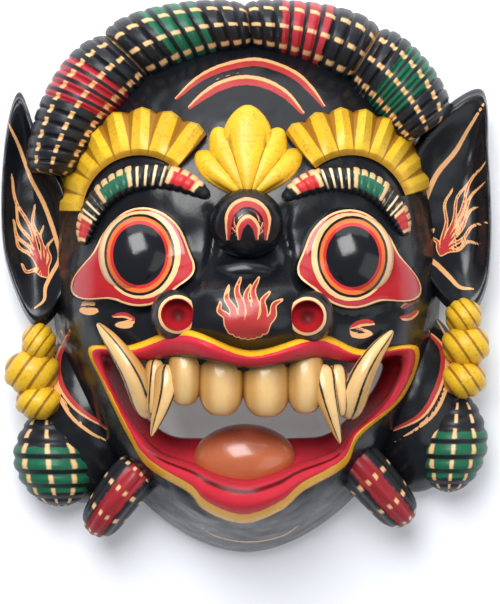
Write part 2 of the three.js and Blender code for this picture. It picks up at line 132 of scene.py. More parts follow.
# The ball between the brows, the wrinkle under it, and the nostrils.
BROW_BALL = {"x": 0.4, "y": 18.4, "z": 60, "half_x": 13, "half_y": 12.4, "half_z": 11.5}
WRINKLE = {"x": 0, "y": 2.5, "half": 13, "radius": 3.4, "sunk": 0.8, "bow": 3}
NOSTRIL = {"wing": 9.6, "wing_z": 11, "hole": 5.6, "hole_depth": 7, "sunk": 4}
NOSTRILS = [{"x": -23.6, "y": -13.4}, {"x": 21.2, "y": -14}]

# The mouth: the outline of the lips and the opening behind them, point for point.
LIP_OUTLINE = [
    [-56, -25.5], [-41, -24.5], [-21, -18.8], [1.5, -26], [25, -20.6], [41, -26], [62, -25.5],
    [57.5, -43], [41, -57], [35.5, -68], [20.5, -76], [12.5, -82.5], [-1, -87], [-14.5, -82.5],
    [-20.5, -76.5], [-35, -68.5], [-42.5, -57], [-51.5, -38],
]
MOUTH_HOLE = [
    [-45, -31], [-33, -35], [-17, -36.5], [1.5, -37.5], [20, -36.5], [36, -35], [49.5, -31.5],
    [46, -42], [36, -52.5], [28, -57.6], [16, -58.3], [8, -58.5], [0, -58.6], [-8, -58.5], [-16, -58.3],
    [-27, -57.6], [-36, -51.5], [-43.5, -40],
]
MOUTH = {"x": 2, "y": -46}
LIP = {"root": -6, "edge": 1.2, "crest": 4.6, "crest_at": 0.26, "inner_at": 0.5, "inner": 0.6,
       "floor_at": 0.8, "floor": 0.62, "throat": 4}

# In the mouth: four incisors, a fang and a side tooth at each end, two tusks, and the tongue.
INCISORS = table("x y half_x half_y", [
    (-21.4, -34, 6.0, 11.6),
    (-8.7, -36.5, 8.2, 12.6),
    (7.2, -36.8, 8.6, 12.8),
    (20.8, -35.8, 6.8, 12.6),
])
INCISOR = {"z": 60, "half_z": 7.5, "bluntness": 2.6}
FANGS = [
    [[-27, -31, 60], [-28.6, -42, 63], [-33.2, -56.4, 61]],
    [[26, -31, 60], [28.4, -43, 63], [33.2, -59, 61]],
]
FANG = {"half": 5, "tip": 0.18, "flat": 0.8}
SIDE_TEETH = [
    [[-31.5, -29, 57], [-32.6, -39, 59], [-33.6, -48.6, 58]],
    [[31.5, -31, 57], [32.6, -40, 59], [33.6, -49.4, 58]],
]
SIDE_TOOTH = {"half": 3.8, "tip": 0.5, "flat": 1}
TUSKS = [
    [[-34, -50, 52], [-38.6, -36, 60], [-45, -25.6, 60], [-52.6, -16.4, 55]],
    [[36, -50.4, 52], [40, -37, 60], [45, -27.6, 60], [52, -19, 55]],
]
TUSK = {"half": 5.1, "tip": 0.3, "flat": 0.9}
TONGUE = {"x": -0.4, "y": -65, "z": 45, "half_x": 18.4, "half_y": 12.4, "half_z": 12, "bluntness": 1.95}

# The hair masses and the gold drops under the ears.
TEMPLES = table("x y z half_x half_y half_z", [
    (-60, -52, 8, 20, 32, 19),
    (63, -46, 8, 20, 34, 19),
])
EAR_DROP = {"z": 22, "half_z": 10, "flutes": 3, "flute": 0.08}
EAR_DROPS = table("x y half_x half_y side", [
    (-76, -24.2, 6.6, 7.5, LEFT),
    (-78.6, -34.7, 10.6, 8.8, LEFT),
    (-76, -45.6, 9, 6.8, LEFT),
    (79.8, -14.5, 7, 7, RIGHT),
    (80.6, -25, 9.2, 8.2, RIGHT),
    (80, -37.4, 8.6, 7.2, RIGHT),
])
BUN = {"z": 15, "half_z": 15, "grooves": 10, "groove": 0.06, "neck": 0.22}
BUNS = table("x y half_x half_y slope", [
    (-70.8, -66.5, 15.6, 18.2, -0.12),
    (76.6, -61, 13, 18.4, 0.1),
])
SIDE_LOCK = {"tip": 0.8, "flat": 1.25, "ridges": 5, "ridge": 0.08}
SIDE_LOCKS = [
    {"path": [[-37, -68, 25], [-47, -80, 25], [-56, -93, 17]], "half": 9},
    {"path": [[36.5, -63, 25], [48, -76, 25], [59, -89, 17]], "half": 9.6},
]

# Painted strokes, as pixels of the photograph's frame along the brush's way, with the half
# width in millimetres.
# The tan edge lies to the right of the way.
RED_STROKES = table("way half", [
    ([(323, 105), (312, 91), (296, 76), (272, 65), (250, 62), (219, 69), (196, 81), (177, 98)], 1.7),
    ([(302, 112), (285, 94), (264, 83), (243, 80), (222, 85), (206, 94), (190, 107)], 1.9),
    ([(107, 429), (80, 406), (65, 381), (61, 355), (70, 331)][::-1], 1.35),
    ([(393, 430), (416, 412), (431, 389), (439, 364), (437, 346), (429, 332)], 1.35),
    ([(113, 316), (124, 315), (134, 319)], 0.95),
    ([(419, 299), (410, 303), (400, 309)], 0.9),
    ([(400, 318), (410, 317), (418, 311)], 1.1),
    ([(350, 328), (362, 323), (375, 323)], 1.2),
])
TAN_STROKES = table("way half", [
    ([(65, 323), (55, 350), (59, 381), (74, 410), (92, 430), (109, 442)], 0.65),
    ([(436, 318), (443, 338), (445, 364), (439, 392), (424, 416), (394, 440)], 0.65),
    ([(79, 305), (88, 303), (97, 305)], 0.8),
    ([(80, 311), (89, 313), (98, 312)], 0.75),
    ([(116, 325), (126, 326), (134, 324)], 0.9),
    ([(350, 335), (362, 336), (373, 333)], 0.9),
    ([(196, 524), (218, 537), (250, 542), (282, 536), (306, 520)], 0.3),
])
BALL_STROKES = table("way half", [
    ([(266, 238), (267, 219), (260, 207), (248, 202), (236, 206), (229, 217), (228, 238)], 1.7),
    ([(257, 238), (256, 227), (248, 219), (240, 227), (239, 238)], 1.5),
])
EAR_LINES = [
    {"way": [(6, 116), (18, 143), (30, 177), (44, 205), (56, 239), (60, 258), (52, 274), (46, 287), (45, 300),
             (36, 308)],
     "half": 0.8},
    {"way": [(484, 102), (467, 131), (455, 152), (437, 174), (425, 202), (421, 227), (424, 253), (438, 266),
             (449, 277), (459, 287), (472, 289)], "half": 1.0},
]
NOSE_FLAME = {"root": (248, 335), "spread": 32, "half": 1.4, "wave": 0.9}
NOSE_TONGUES = [(218, 303), (226, 286), (238, 277), (248, 284), (256, 277), (267, 291), (280, 298)]
EAR_FLAMES = [
    {"root": (47, 276), "half": 0.5, "tips": [(9, 176), (13, 207), (13, 236), (21, 267), (50, 238), (31, 205),
                                              (40, 226), (11, 222)]},
    {"root": (441, 254), "half": 0.5,
     "tips": [(450, 188), (466, 181), (482, 161), (484, 179), (485, 220), (478, 241), (431, 230),
              (482, 200)]},
]
EAR_FLAME = {"wave": 1.1}

# Furrows cut into the face, as pixels along each, with half width and depth in millimetres.
FURROWS = table("way half depth", [
    ([(206, 204), (214, 226), (211, 252), (202, 276), (183, 296)], 1.7, 1.7),
    ([(290, 204), (285, 228), (290, 254), (301, 280), (322, 300)], 1.7, 1.7),
    ([(214, 266), (248, 275), (284, 266)], 1.6, 1.3),
    ([(80, 294), (110, 308), (150, 308), (176, 300)], 1.5, 1.2),
    ([(320, 304), (350, 316), (390, 312), (418, 298)], 1.5, 1.2),
    ([(190, 500), (218, 520), (250, 527), (284, 518), (312, 496)], 2.0, 1.3),
])

# Paint, as linear red, green and blue.
BLACK = (0.007, 0.008, 0.011, 1)
SOFT_BLACK = (0.012, 0.014, 0.018, 1)
RED = (0.56, 0.028, 0.030, 1)
LID_RED = (0.40, 0.014, 0.020, 1)
STROKE_RED = (0.40, 0.034, 0.034, 1)
TAN = (0.72, 0.38, 0.16, 1)
HAIR_RED = (0.42, 0.028, 0.042, 1)
LIP_RED = (0.58, 0.030, 0.050, 1)
# Painted shade: a dark red for the shade deep in the mouth and in the nostrils.
SHADE_RED = (0.10, 0.004, 0.006, 1)
LOCK_RED = (0.30, 0.016, 0.024, 1)
NOSTRIL_RED = (0.36, 0.012, 0.018, 1)
ORANGE = (0.72, 0.16, 0.035, 1)
CREAM = (0.82, 0.50, 0.24, 1)
PALE = (0.86, 0.66, 0.38, 1)
GREEN = (0.012, 0.115, 0.060, 1)
GOLD = (0.74, 0.45, 0.022, 1)
# Ochre: painted shade in the gold's folds and foot and at the teeth's sides, and the gold's own streaks.
OCHRE = (0.27, 0.105, 0.008, 1)
LIP_GOLD = (0.85, 0.42, 0.020, 1)
TOOTH = (0.54, 0.29, 0.085, 1)
# Pale ivory: the painted highlight on the teeth and tusks, and the ivory of worn crests.
TOOTH_PALE = (0.72, 0.47, 0.20, 1)
CLAY = (0.44, 0.115, 0.045, 1)
# Painted shade: a dark clay for the shade at the tongue's root.
CLAY_SHADE = (0.17, 0.035, 0.018, 1)
WOOD = (0.42, 0.25, 0.12, 1)
WOOD_DARK = (0.24, 0.12, 0.05, 1)

# Painted patterns: the eye's rings by radius, the brow's tufts and the hair's rows of dashes by their shares.
EYE_RINGS = [(BLACK, 14.4), (ORANGE, 13.4), (RED, 11.9), (BLACK, 10.7)]
BROW_TUFTS = [(RED, 0.11, 0.07), (GREEN, 0.45, 0.10), (RED, 0.84, 0.07)]
BROW_TICKS = [(0.66, 0.08), (0.25, 0.05)]
HAIR_DASHES = {"rows": (0.16, 0.46, 0.76), "half": 0.029}
SHARP_EDGE = 38

# Formulas


def mix(a, b, share):
    return a + (b - a) * share


def signed_power(value, n):
    return np.sign(value) * np.abs(value) ** n


def bell(x, width):
    return np.exp(-((x / width) ** 2))


def angle_between(a, b):
    return (a - b + 180) % 360 - 180


def carved_lines(place, count, depth, narrow=4):
    """1 on the crests and 1 - depth in narrow grooves, with count strands over places from 0 to 1."""
    return 1 - depth * np.abs(np.cos(np.pi * count * place)) ** narrow


def blunt_radius(x, y, half_x, half_y, bluntness):
    """How far out a point lies on a blunt ellipse's own scale: (|x/a|^n + |y/b|^n)^(1/n)."""
    return (np.abs(x / half_x) ** bluntness + np.abs(y / half_y) ** bluntness) ** (1 / bluntness)


def blunt_point(turn, half_x, half_y, bluntness):
    """The point of a blunt ellipse's outline at a share of a turn: cosine and sine to the power 2/n."""
    x = half_x * signed_power(np.cos(turn * TURN), 2 / bluntness)
    y = half_y * signed_power(np.sin(turn * TURN), 2 / bluntness)
    return x, y


def head_bluntness(y):
    """The head's outline is blunt above its middle and draws in to the jaw below it."""
    return np.where(y < 0, HEAD["jaw_bluntness"], HEAD["bluntness"])


def head_radius(x, y, half_x, half_y):
    return blunt_radius(x, y - HEAD["y"], half_x, half_y, head_bluntness(y - HEAD["y"]))


def head_point(turn, half_x, half_y):
    return blunt_point(turn, half_x, half_y, head_bluntness(np.sin(turn * TURN)))


def dome(r, height):
    """A dome over a radius of 0 to 1: height (1 - r^sharpness)^roundness."""
    return height * np.maximum(0, 1 - r ** HEAD["sharpness"]) ** HEAD["roundness"]


def face_height(x, y):
    """The front of the block: the dome, and the swellings, rise exp(-|dx|^n - |dy|^n),
    that fade out to the rim."""
    r = head_radius(x, y, HEAD["half_width"], HEAD["half_height"])
    fade = np.clip((1 - r) / SWELLING_FADE, 0, 1)
    rise = 0
    for s in SWELLINGS:
        away_x = np.abs((x - s["x"]) / s["reach_x"]) ** s["flat"]
        away_y = np.abs((y - s["y"]) / s["reach_y"]) ** s["flat"]
        rise = rise + s["rise"] * np.exp(-(away_x + away_y))
    return dome(r, HEAD["height"]) + fade * rise


def hollow_height(x, y):
    """The roof of the hollow: the dome again, a wall's thickness in from the rim."""
    half_x = HEAD["half_width"] - HOLLOW["wall"]
    half_y = HEAD["half_height"] - HOLLOW["wall"]
    return dome(np.minimum(1, head_radius(x, y, half_x, half_y)), HOLLOW["height"])


def curve_at(points, t, closed=False):
    """Points at shares t of a Catmull-Rom curve; an open curve's ends run straight on."""
    points = np.asarray(points, float)
    t = np.asarray(t, float)
    if closed:
        place = (t % 1) * len(points)
        first = np.floor(place).astype(int)
        a, b, c, d = (points[(first + k) % len(points)] for k in (-1, 0, 1, 2))
    else:
        points = np.vstack([2 * points[0] - points[1], points, 2 * points[-1] - points[-2]])
        place = t * (len(points) - 3)
        first = np.minimum(np.floor(place).astype(int), len(points) - 4)
        a, b, c, d = (points[first + k] for k in range(4))
    w = (place - first)[..., None]
    return b + 0.5 * w * (c - a + w * (2 * a - 5 * b + 4 * c - d + w * (3 * (b - c) + d - a)))


def from_photo(pixels, height_at):
    """Where the camera's lines through pixels meet the mask: each round moves the height
    to the last guess's."""
    pixels = np.asarray(pixels, float)
    z = 30.0
    for _ in range(5):
        scale = CAMERA["field"] / PHOTO["height"] * (1 - z / CAMERA["height"])
        x = CAMERA["x"] + (pixels[:, 0] - PHOTO["width"] / 2) * scale
        y = CAMERA["y"] + (PHOTO["height"] / 2 - pixels[:, 1]) * scale
        z = height_at(x, y)
    return np.stack([x, y], -1)


# Painted lines, as values at the surface's points


def nearest_on(way, x, y, samples):
    """The nearest sample of a curve to each point: its share of the way, the offset to its
    left and the distance."""
    t = np.linspace(0, 1, samples)
    line = curve_at(way, t)
    heading = np.gradient(line, axis=0)
    heading /= np.linalg.norm(heading, axis=1, keepdims=True)
    away_x = x[..., None] - line[:, 0]
    away_y = y[..., None] - line[:, 1]
    nearest = np.argmin(away_x ** 2 + away_y ** 2, axis=-1)
    away_x = np.take_along_axis(away_x, nearest[..., None], -1)[..., 0]
    away_y = np.take_along_axis(away_y, nearest[..., None], -1)[..., 0]
    left = heading[nearest, 0] * away_y - heading[nearest, 1] * away_x
    return t[nearest], left, np.hypot(away_x, away_y)


def face_strokes(x, y):
    return stroke_fields(x, y, RED_STROKES, TAN_STROKES, face_height)


def stroke_fields(x, y, red, tan, height_at):
    """Of the nearest stroke: the offset and the distance over its half width, which tapers
    to its ends, and its kind."""
    side = np.full(x.shape, NO_PAINT)
    far = np.full(x.shape, NO_PAINT)
    plain = np.zeros(x.shape)
    for kind, strokes in enumerate((red, tan)):
        for stroke in strokes:
            t, left, distance = nearest_on(from_photo(stroke["way"], height_at), x, y, 70)
            half = stroke["half"] * (0.35 + 0.65 * (1 - np.abs(2 * t - 1) ** 3))
            closer = distance / half < far
            side = np.where(closer, left / half, side)
            far = np.where(closer, distance / half, far)
            plain = np.where(closer, kind, plain)
    return {"side": side, "far": far, "plain": plain}


def furrow_depth(x, y):
    """How deep the face is cut: each furrow's depth times a bell curve across it, fading out at its ends."""
    deep = np.zeros(x.shape)
    for furrow in FURROWS:
        t, _, distance = nearest_on(from_photo(furrow["way"], face_height), x, y, 60)
        cut = furrow["depth"] * bell(distance, furrow["half"]) * (1 - np.abs(2 * t - 1) ** 4)
        deep = np.maximum(deep, cut)
    return deep


def blaze_field(x, y, roots, tips, half, wave, height_at):
    """The distance out of the nearest flame tongue: wavy ways from a root to a tip that thin to nothing."""
    flame = np.full(x.shape, NO_PAINT)
    for root, tip in zip(from_photo(roots, height_at), from_photo(tips, height_at)):
        t = np.linspace(0, 1, 13)
        heading = tip - root
        across = np.array([-heading[1], heading[0]]) / np.linalg.norm(heading)
        swing = wave * np.sin(3.4 * np.pi * t) * 1.2 * t
        way = root + t[:, None] * heading + swing[:, None] * across
        share, _, distance = nearest_on(way, x, y, 50)
        flame = np.minimum(flame, distance - half * (1 - share) ** 0.6)
    return flame


# Meshes

FIELDS = {"side": NO_PAINT, "far": NO_PAINT, "plain": 0.0, "blaze": NO_PAINT, "across": 0.0, "along": 0.0}


def grid(around, along):
    """Shares u of a turn, without the seam's second copy, and v from 0 to 1, as two arrays."""
    return np.meshgrid(np.arange(around) / around, np.linspace(0, 1, along + 1))


def solid(name, points, paint, fields=None, ring=False):
    """A closed mesh over rows of points that run round; the end rows close on a pole each,
    or on each other in a ring.

    The fields, a value at each point, become attributes of the faces' corners, so that joining
    keeps them exact.
    """
    rows, around = points[0].shape
    places = np.stack(points, -1).reshape(-1, 3) * MM
    ids = np.arange(rows * around).reshape(rows, around)
    if ring:
        below, above = ids, np.roll(ids, -1, 0)
    else:
        ids[0] = ids[0, 0]
        ids[-1] = ids[-1, 0]
        below, above = ids[:-1], ids[1:]
    right_below, right_above = np.roll(below, -1, 1), np.roll(above, -1, 1)
    quads = np.stack([below, right_below, right_above, above], -1)
    if ring:
        triangles = np.zeros((0, 3), int)
    else:
        triangles = np.vstack([quads[0][:, [0, 2, 3]], quads[-1][:, [0, 1, 2]]])
        quads = quads[1:-1]
    quads = quads.reshape(-1, 4)
    halves = np.vstack([triangles, quads[:, [0, 1, 2]], quads[:, [0, 2, 3]]])
    a, b, c = (places[halves[:, k]] for k in range(3))
    if np.sum(a * np.cross(b, c)) < 0:
        quads, triangles = quads[:, ::-1], triangles[:, ::-1]
    corners = np.concatenate([triangles.ravel(), quads.ravel()])
    starts = np.concatenate([3 * np.arange(len(triangles)), 3 * len(triangles) + 4 * np.arange(len(quads))])
    used, corners_used = np.unique(corners, return_inverse=True)
    mesh = bpy.data.meshes.new(name)
    mesh.vertices.add(len(used))
    mesh.vertices.foreach_set("co", places[used].ravel())
    mesh.loops.add(len(corners))
    mesh.loops.foreach_set("vertex_index", corners_used.ravel())
    mesh.polygons.add(len(starts))
    mesh.polygons.foreach_set("loop_start", starts)
    for field, empty in FIELDS.items():
        values = np.broadcast_to((fields or {}).get(field, empty), points[0].shape).ravel()
        attribute = mesh.attributes.new(field, "FLOAT", "CORNER")
        attribute.data.foreach_set("value", values[corners].astype(np.float32))
    mesh.materials.append(paint)
    mesh.update(calc_edges=True)
    return bpy.data.objects.new(name, mesh)


def round_form(name, form, paint, around, along, factor=1.0, fields=None):
    """A round form with poles along z: a blunt ellipse times sin(pi v), at height -cos(pi v)."""
    u, v = grid(around, along)
    sideways, upwards = blunt_point(u, form["half_x"], form["half_y"], form.get("bluntness", 2))
    swing = np.sin(v * np.pi) * factor
    x, y = form["x"] + sideways * swing, form["y"] + upwards * swing
    z = form["z"] - form["half_z"] * np.cos(v * np.pi)
    return solid(name, (x, y, z), paint, fields(x, y) if callable(fields) else fields)


def horn(name, path, half, tip, flat, paint, around, along, ridges=None):
    """A horn along a curve: a round section, closed at both ends, that thins from its root to its tip."""
    u, v = grid(around, along)
    centre = curve_at(path, v)
    heading = curve_at(path, np.minimum(v + 1e-4, 1)) - curve_at(path, np.maximum(v - 1e-4, 0))
    across = np.stack([heading[..., 1], -heading[..., 0], np.zeros_like(v)], -1)
    across /= np.linalg.norm(across, axis=-1, keepdims=True)
    out = np.cross(across, heading)
    out /= np.linalg.norm(out, axis=-1, keepdims=True)
    closing = np.maximum(0, 1 - np.abs(2 * v - 1) ** 6) ** 0.5
    radius = half * mix(1, tip, v ** 1.6) * closing
    if ridges:
        radius = radius * carved_lines(u, ridges["count"], ridges["depth"])
    sideways = (radius * np.cos(u * TURN))[..., None]
    outwards = (radius * flat * np.sin(u * TURN))[..., None]
    made = centre + across * sideways + out * outwards
    fields = {"across": np.cos(u * TURN), "along": v}
    return solid(name, (made[..., 0], made[..., 1], made[..., 2]), paint, fields)


def leaf(name, edge, middle, height_at, rows, paint, along, fields_at):
    """An outline drawn in to its middle, along a curve through rows of (share of the way out, height)."""
    _, v = grid(len(edge[0]), along)
    shares = curve_at(rows, np.interp(v, [0, 0.7, 1], [0, 0.42, 1]))
    x = mix(middle[0], edge[0][None, :], shares[..., 0])
    y = mix(middle[1], edge[1][None, :], shares[..., 0])
    return solid(name, (x, y, height_at(x, y) + shares[..., 1]), paint, fields_at(x, y, shares[..., 0]))


# The mask's pieces


def block(paint):
    """The block before it is hollowed: the face drawn from its middle out to the rim, and
    a flat underside."""
    u, v = grid(224, 110)
    share = 1 - (1 - np.minimum(1, v * 110 / 109)) ** 1.5
    share[-1] = 0
    edge_x, edge_y = head_point(u, HEAD["half_width"], HEAD["half_height"])
    x = edge_x * share
    y = mix(HEAD["pole_y"], HEAD["y"] + edge_y, share)
    z = face_height(x, y) - furrow_depth(x, y)
    z[-2:] = 0
    fields = face_strokes(x, y)
    spread = np.linspace(-1, 1, len(NOSE_TONGUES)) * NOSE_FLAME["spread"] / 2
    roots = [(NOSE_FLAME["root"][0] + s, NOSE_FLAME["root"][1] - 0.02 * s * s) for s in spread]
    fields["blaze"] = blaze_field(x, y, roots, NOSE_TONGUES, NOSE_FLAME["half"], NOSE_FLAME["wave"],
                                  face_height)
    return solid("block", (x, y, z), paint, fields)


def hollow(paint):
    """What is carved out behind the face: the hollow's roof out to its rim, then straight down."""
    u, v = grid(96, 32)
    share = 1 - (1 - np.minimum(1, v * 32 / 30)) ** 1.5
    share[-1] = 0
    half_x = HEAD["half_width"] - HOLLOW["wall"]
    half_y = HEAD["half_height"] - HOLLOW["wall"]
    edge_x, edge_y = head_point(u, half_x, half_y)
    x = edge_x * share
    y = mix(HEAD["pole_y"], HEAD["y"] + edge_y, share)
    z = hollow_height(x, y)
    z[-3] = 0
    z[-2:] = -BELOW_RIM
    return solid("hollow", (x, y, z), paint)


def under_rim(paint):
    """A flat slab below the plane of the rim: a square column with its poles in its two faces."""
    u, _ = grid(4, 3)
    reach = 3 * HEAD["half_height"] * np.array([0, 1, 1, 0])[:, None]
    depth = BELOW_RIM * np.array([-1, -1, 0, 0])[:, None]
    return solid("under_rim", (reach * np.cos(u * TURN), reach * np.sin(u * TURN), depth + 0 * u), paint)


def hair_roll(roll, paint):
    """A blunt section carried along the crown between an inner and an outer outline,
    grooved between its strands."""
    u, v = grid(32, 10 * roll["strands"])
    end = np.maximum(0, 1 - np.abs(2 * v - 1) ** HAIR["end_bluntness"]) ** (1 / HAIR["end_bluntness"])
    carved = carved_lines(v, roll["strands"], HAIR["groove"], 12)
    radial = HAIR["middle"] + HAIR["reach"] * end * carved * np.cos(u * TURN)
    angle = np.radians(mix(roll["from"], roll["to"], v)) + HAIR["slant"] * (radial - 0.5) * end
    c, s = np.cos(angle), np.sin(angle)
    reach = 1 / blunt_radius(c, s, HAIR["outer_x"], HAIR["outer_y"], HAIR["outer_bluntness"])
    x = mix(HAIR["inner_x"] * c, reach * c, radial)
    y = mix(HAIR["inner_y"] * s, reach * s, radial)
    z = HAIR["z"] + HAIR["height"] * end * carved * signed_power(np.sin(u * TURN), 0.8)
    fields = {"across": 0.5 + 0.5 * np.cos(u * TURN), "along": v * roll["strands"] - roll["patch_at"]}
    return solid("hair_roll", (x, HAIR["y"] + y, z), paint, fields)


def ear(outline, side, line, flames, paint):
    """A leaf that is dished in front and plain behind, leaning back to its outer edge."""
    edge = curve_at(outline, np.arange(128) / 128, closed=True).T
    middle = np.mean(outline, axis=0)
    dish, thickness = EAR["dish"], EAR["thickness"]
    rows = [[0, -dish], [0.55, -0.75 * dish], [0.92, 0], [1, -2], [0.97, -thickness], [0, -thickness - dish]]

    def rim_height(x, y):
        return EAR["rim"] - EAR["lean"] * (side * x - 66)

    def front_height(x, y):
        return rim_height(x, y) - 0.7 * dish

    def fields_at(x, y, share):
        fields = stroke_fields(x, y, [], [line], front_height)
        roots = [flames["root"]] * len(flames["tips"])
        fields["blaze"] = blaze_field(x, y, roots, flames["tips"], flames["half"], EAR_FLAME["wave"],
                                      front_height)
        return fields

    return leaf("ear", edge, middle, rim_height, rows, paint, 54, fields_at)


def eye_ring(eye, x, y):
    """The distance from the eye's middle, on the scale of its taller than wide pupil, in millimetres."""
    return np.hypot((x - eye["x"]) * PUPIL["half_y"] / PUPIL["half_x"], y - eye["y"])


def eyelid(eye, paint):
    """A thick cushion round the ball: a circle, flatter above, drawn out by bell curves to two corners."""
    turn = np.arange(108) / 108
    angle = turn * 360
    radius = (LID["radius"]
              - LID["flat_upper"] * bell(angle_between(angle, LID["flat_at"]), 36)
              + LID["outer_corner"] * bell(angle_between(angle, LID["outer_at"]), 19)
              + LID["inner_corner"] * bell(angle_between(angle, LID["inner_at"]), 17)
              + LID["lower"] * bell(angle_between(angle, LID["lower_at"]), 50))
    edge = (eye["x"] - eye["side"] * radius * np.cos(turn * TURN), eye["y"] + radius * np.sin(turn * TURN))
    rows = [[0, LID["rise"]], [0.88, LID["rise"]], [1, 0.3 * LID["rise"]], [0.97, -LID["sunk"]],
            [0, -LID["sunk"]]]

    def fields_at(x, y, share):
        nasal = np.clip(-eye["side"] * (x - eye["x"]) / LID["radius"], 0, 1)
        ring = eye_ring(eye, x, y)
        return {"across": ring, "side": ring - 1.6 * nasal, "along": (1 - share) * radius[None, :]}

    return leaf("eyelid", edge, (eye["x"], eye["y"]), face_height, rows, paint, 30, fields_at)


def eyeball(eye, paint):
    """The ball in the lid, with the distance from its middle for the painted rings."""
    form = {**EYEBALL, "x": eye["x"], "y": eye["y"]}
    form["z"] = face_height(eye["x"], eye["y"]) - EYEBALL["sunk"]

    def fields_at(x, y):
        return {"across": eye_ring(eye, x, y), "side": 0.0, "along": NO_PAINT}

    return round_form("eyeball", form, paint, 72, 40, fields=fields_at)


def eyebrow(eye, paint):
    """A half-round ridge that leaves the eye as it runs to the nose, notched by the comb,
    with rounded ends."""
    u, v = grid(28, 160)
    angle = np.radians(mix(eye["brow_from"], EYEBROW["to"], v))
    closing = np.maximum(0, 1 - np.abs(2 * v - 1) ** 3.5) ** 0.5
    thick = carved_lines(v, EYEBROW["combs"], EYEBROW["comb"]) * closing
    middle = mix(EYEBROW["outer_radius"], EYEBROW["inner_radius"], v)
    radius = middle + EYEBROW["half"] * thick * np.cos(u * TURN)
    x = eye["x"] - eye["side"] * radius * np.cos(angle)
    y = eye["y"] + radius * np.sin(angle)
    z = face_height(x, y) + EYEBROW["rise"] * thick * np.sin(u * TURN)
    return solid("eyebrow", (x, y, z), paint, {"across": np.cos(u * TURN), "along": v})


def gold_band(band, paint):
    """A section carried about a centre; each pleat folds it up and down as a triangle wave
    that grows outwards."""
    sunk, rise = BAND["sunk"], BAND["rise"]
    section = [[0.5, -sunk], [0, -sunk], [0, 1.5], [0.12, 4], [0.55, rise], [0.94, rise], [1, 2.5],
               [1, -sunk]]
    u, v = grid(48, 12 * BAND["pleats"])
    corner = np.interp(u, np.arange(len(section) + 1) / len(section), np.arange(len(section) + 1))
    loop = np.vstack([section, section[:1]])
    share = np.interp(corner, np.arange(len(loop)), loop[:, 0])
    lift = np.interp(corner, np.arange(len(loop)), loop[:, 1])
    fold = 1 - 4 * np.abs((v * BAND["pleats"]) % 1 - 0.5)
    angle = np.radians(mix(band["from"], band["to"], v))
    radius = mix(BAND["inner"], BAND["outer"] + fold * BAND["scallop"], share)
    x = band["x"] + radius * np.cos(angle)
    y = band["y"] + radius * np.sin(angle)
    raised = np.clip((lift - 1.5) / 1.5, 0, 1)
    z = face_height(x, y) + lift + fold * BAND["pleat"] * share * raised
    return solid("gold_band", (x, y, z), paint, {"across": share, "along": fold})


def petal(form, paint):
    """A rounded leaf that grows out of the flower's foot, widest near its tip."""
    u, v = grid(32, 36)
    v = 0.5 - 0.5 * np.cos(v * np.pi)
    c, s = np.cos(np.radians(form["angle"])), np.sin(np.radians(form["angle"]))
    width = 0.5 + form["half"] * np.sin(np.pi * np.clip(v, 0, 1) ** 1.5) ** 0.62
    side = width * np.cos(u * TURN)
    thick = FLOWER["thickness"] * np.maximum(0, np.sin(np.pi * mix(0.16, 1, v))) ** 0.5
    x = FLOWER["x"] + c * form["length"] * v - s * side
    y = FLOWER["y"] + s * form["length"] * v + c * side
    ridge = np.cos(u * TURN * 4)
    thick = thick * (1 - 0.16 * np.maximum(0, -ridge) ** 2 * np.sin(np.pi * v))
    z = np.maximum(FLOWER["z"], face_height(x, y)) - 1 + form["lift"] + thick * np.sin(u * TURN)
    return solid("petal", (x, y, z), paint, {"across": v, "along": ridge * np.clip(1.5 - 1.7 * v, 0, 1)})


def brow_ball(paint):
    """The ball between the brows, with its two painted arches."""
    ball = BROW_BALL

    def top_height(x, y):
        r = np.hypot((x - ball["x"]) / ball["half_x"], (y - ball["y"]) / ball["half_y"])
        return ball["z"] + ball["half_z"] * np.sqrt(np.clip(1 - r * r, 0, 1))

    def fields_at(x, y):
        return stroke_fields(x, y, BALL_STROKES, [], top_height)

    return round_form("brow_ball", ball, paint, 64, 40, fields=fields_at)


def wrinkle(paint):
    """A low roll across the root of the nose, bowed down at its ends."""
    z = face_height(WRINKLE["x"], WRINKLE["y"]) - WRINKLE["sunk"]
    bow = WRINKLE["bow"]
    path = [[WRINKLE["x"] + k * WRINKLE["half"], WRINKLE["y"] - abs(k) * bow, z - abs(k) * bow]
            for k in (-1, 0, 1)]
    return horn("wrinkle", path, WRINKLE["radius"], 0.8, 1, paint, 28, 40)


def nostril_wing(place, paint):
    """The round wing of a nostril, with the distance from its middle for the painted rim."""
    form = {**place, "half_x": NOSTRIL["wing"], "half_y": NOSTRIL["wing"], "half_z": NOSTRIL["wing_z"]}
    form["z"] = face_height(form["x"], form["y"]) - NOSTRIL["sunk"]
    _, v = grid(56, 36)
    return round_form("nostril_wing", form, paint, 56, 36,
                      fields={"across": NOSTRIL["wing"] * np.sin(v * np.pi)})


def nostril_hole(place, paint):
    """The hollow of a nostril."""
    form = {**place, "half_x": NOSTRIL["hole"], "half_y": NOSTRIL["hole"], "half_z": NOSTRIL["hole_depth"]}
    form["z"] = face_height(form["x"], form["y"]) - NOSTRIL["sunk"] + NOSTRIL["wing_z"]
    u, v = grid(40, 24)
    fields = {"across": np.sin(v * np.pi), "along": np.sin(u * TURN) * np.sin(v * np.pi)}
    return round_form("nostril_hole", form, paint, 40, 24, fields=fields)


def mouth_edges(around):
    """The lips' outline and the opening's, point for point, and the breadth between them."""
    turn = np.arange(around) / around
    outer = curve_at(LIP_OUTLINE, turn, closed=True).T
    inner = curve_at(MOUTH_HOLE, turn, closed=True).T
    return outer, inner, np.hypot(*(inner - outer))


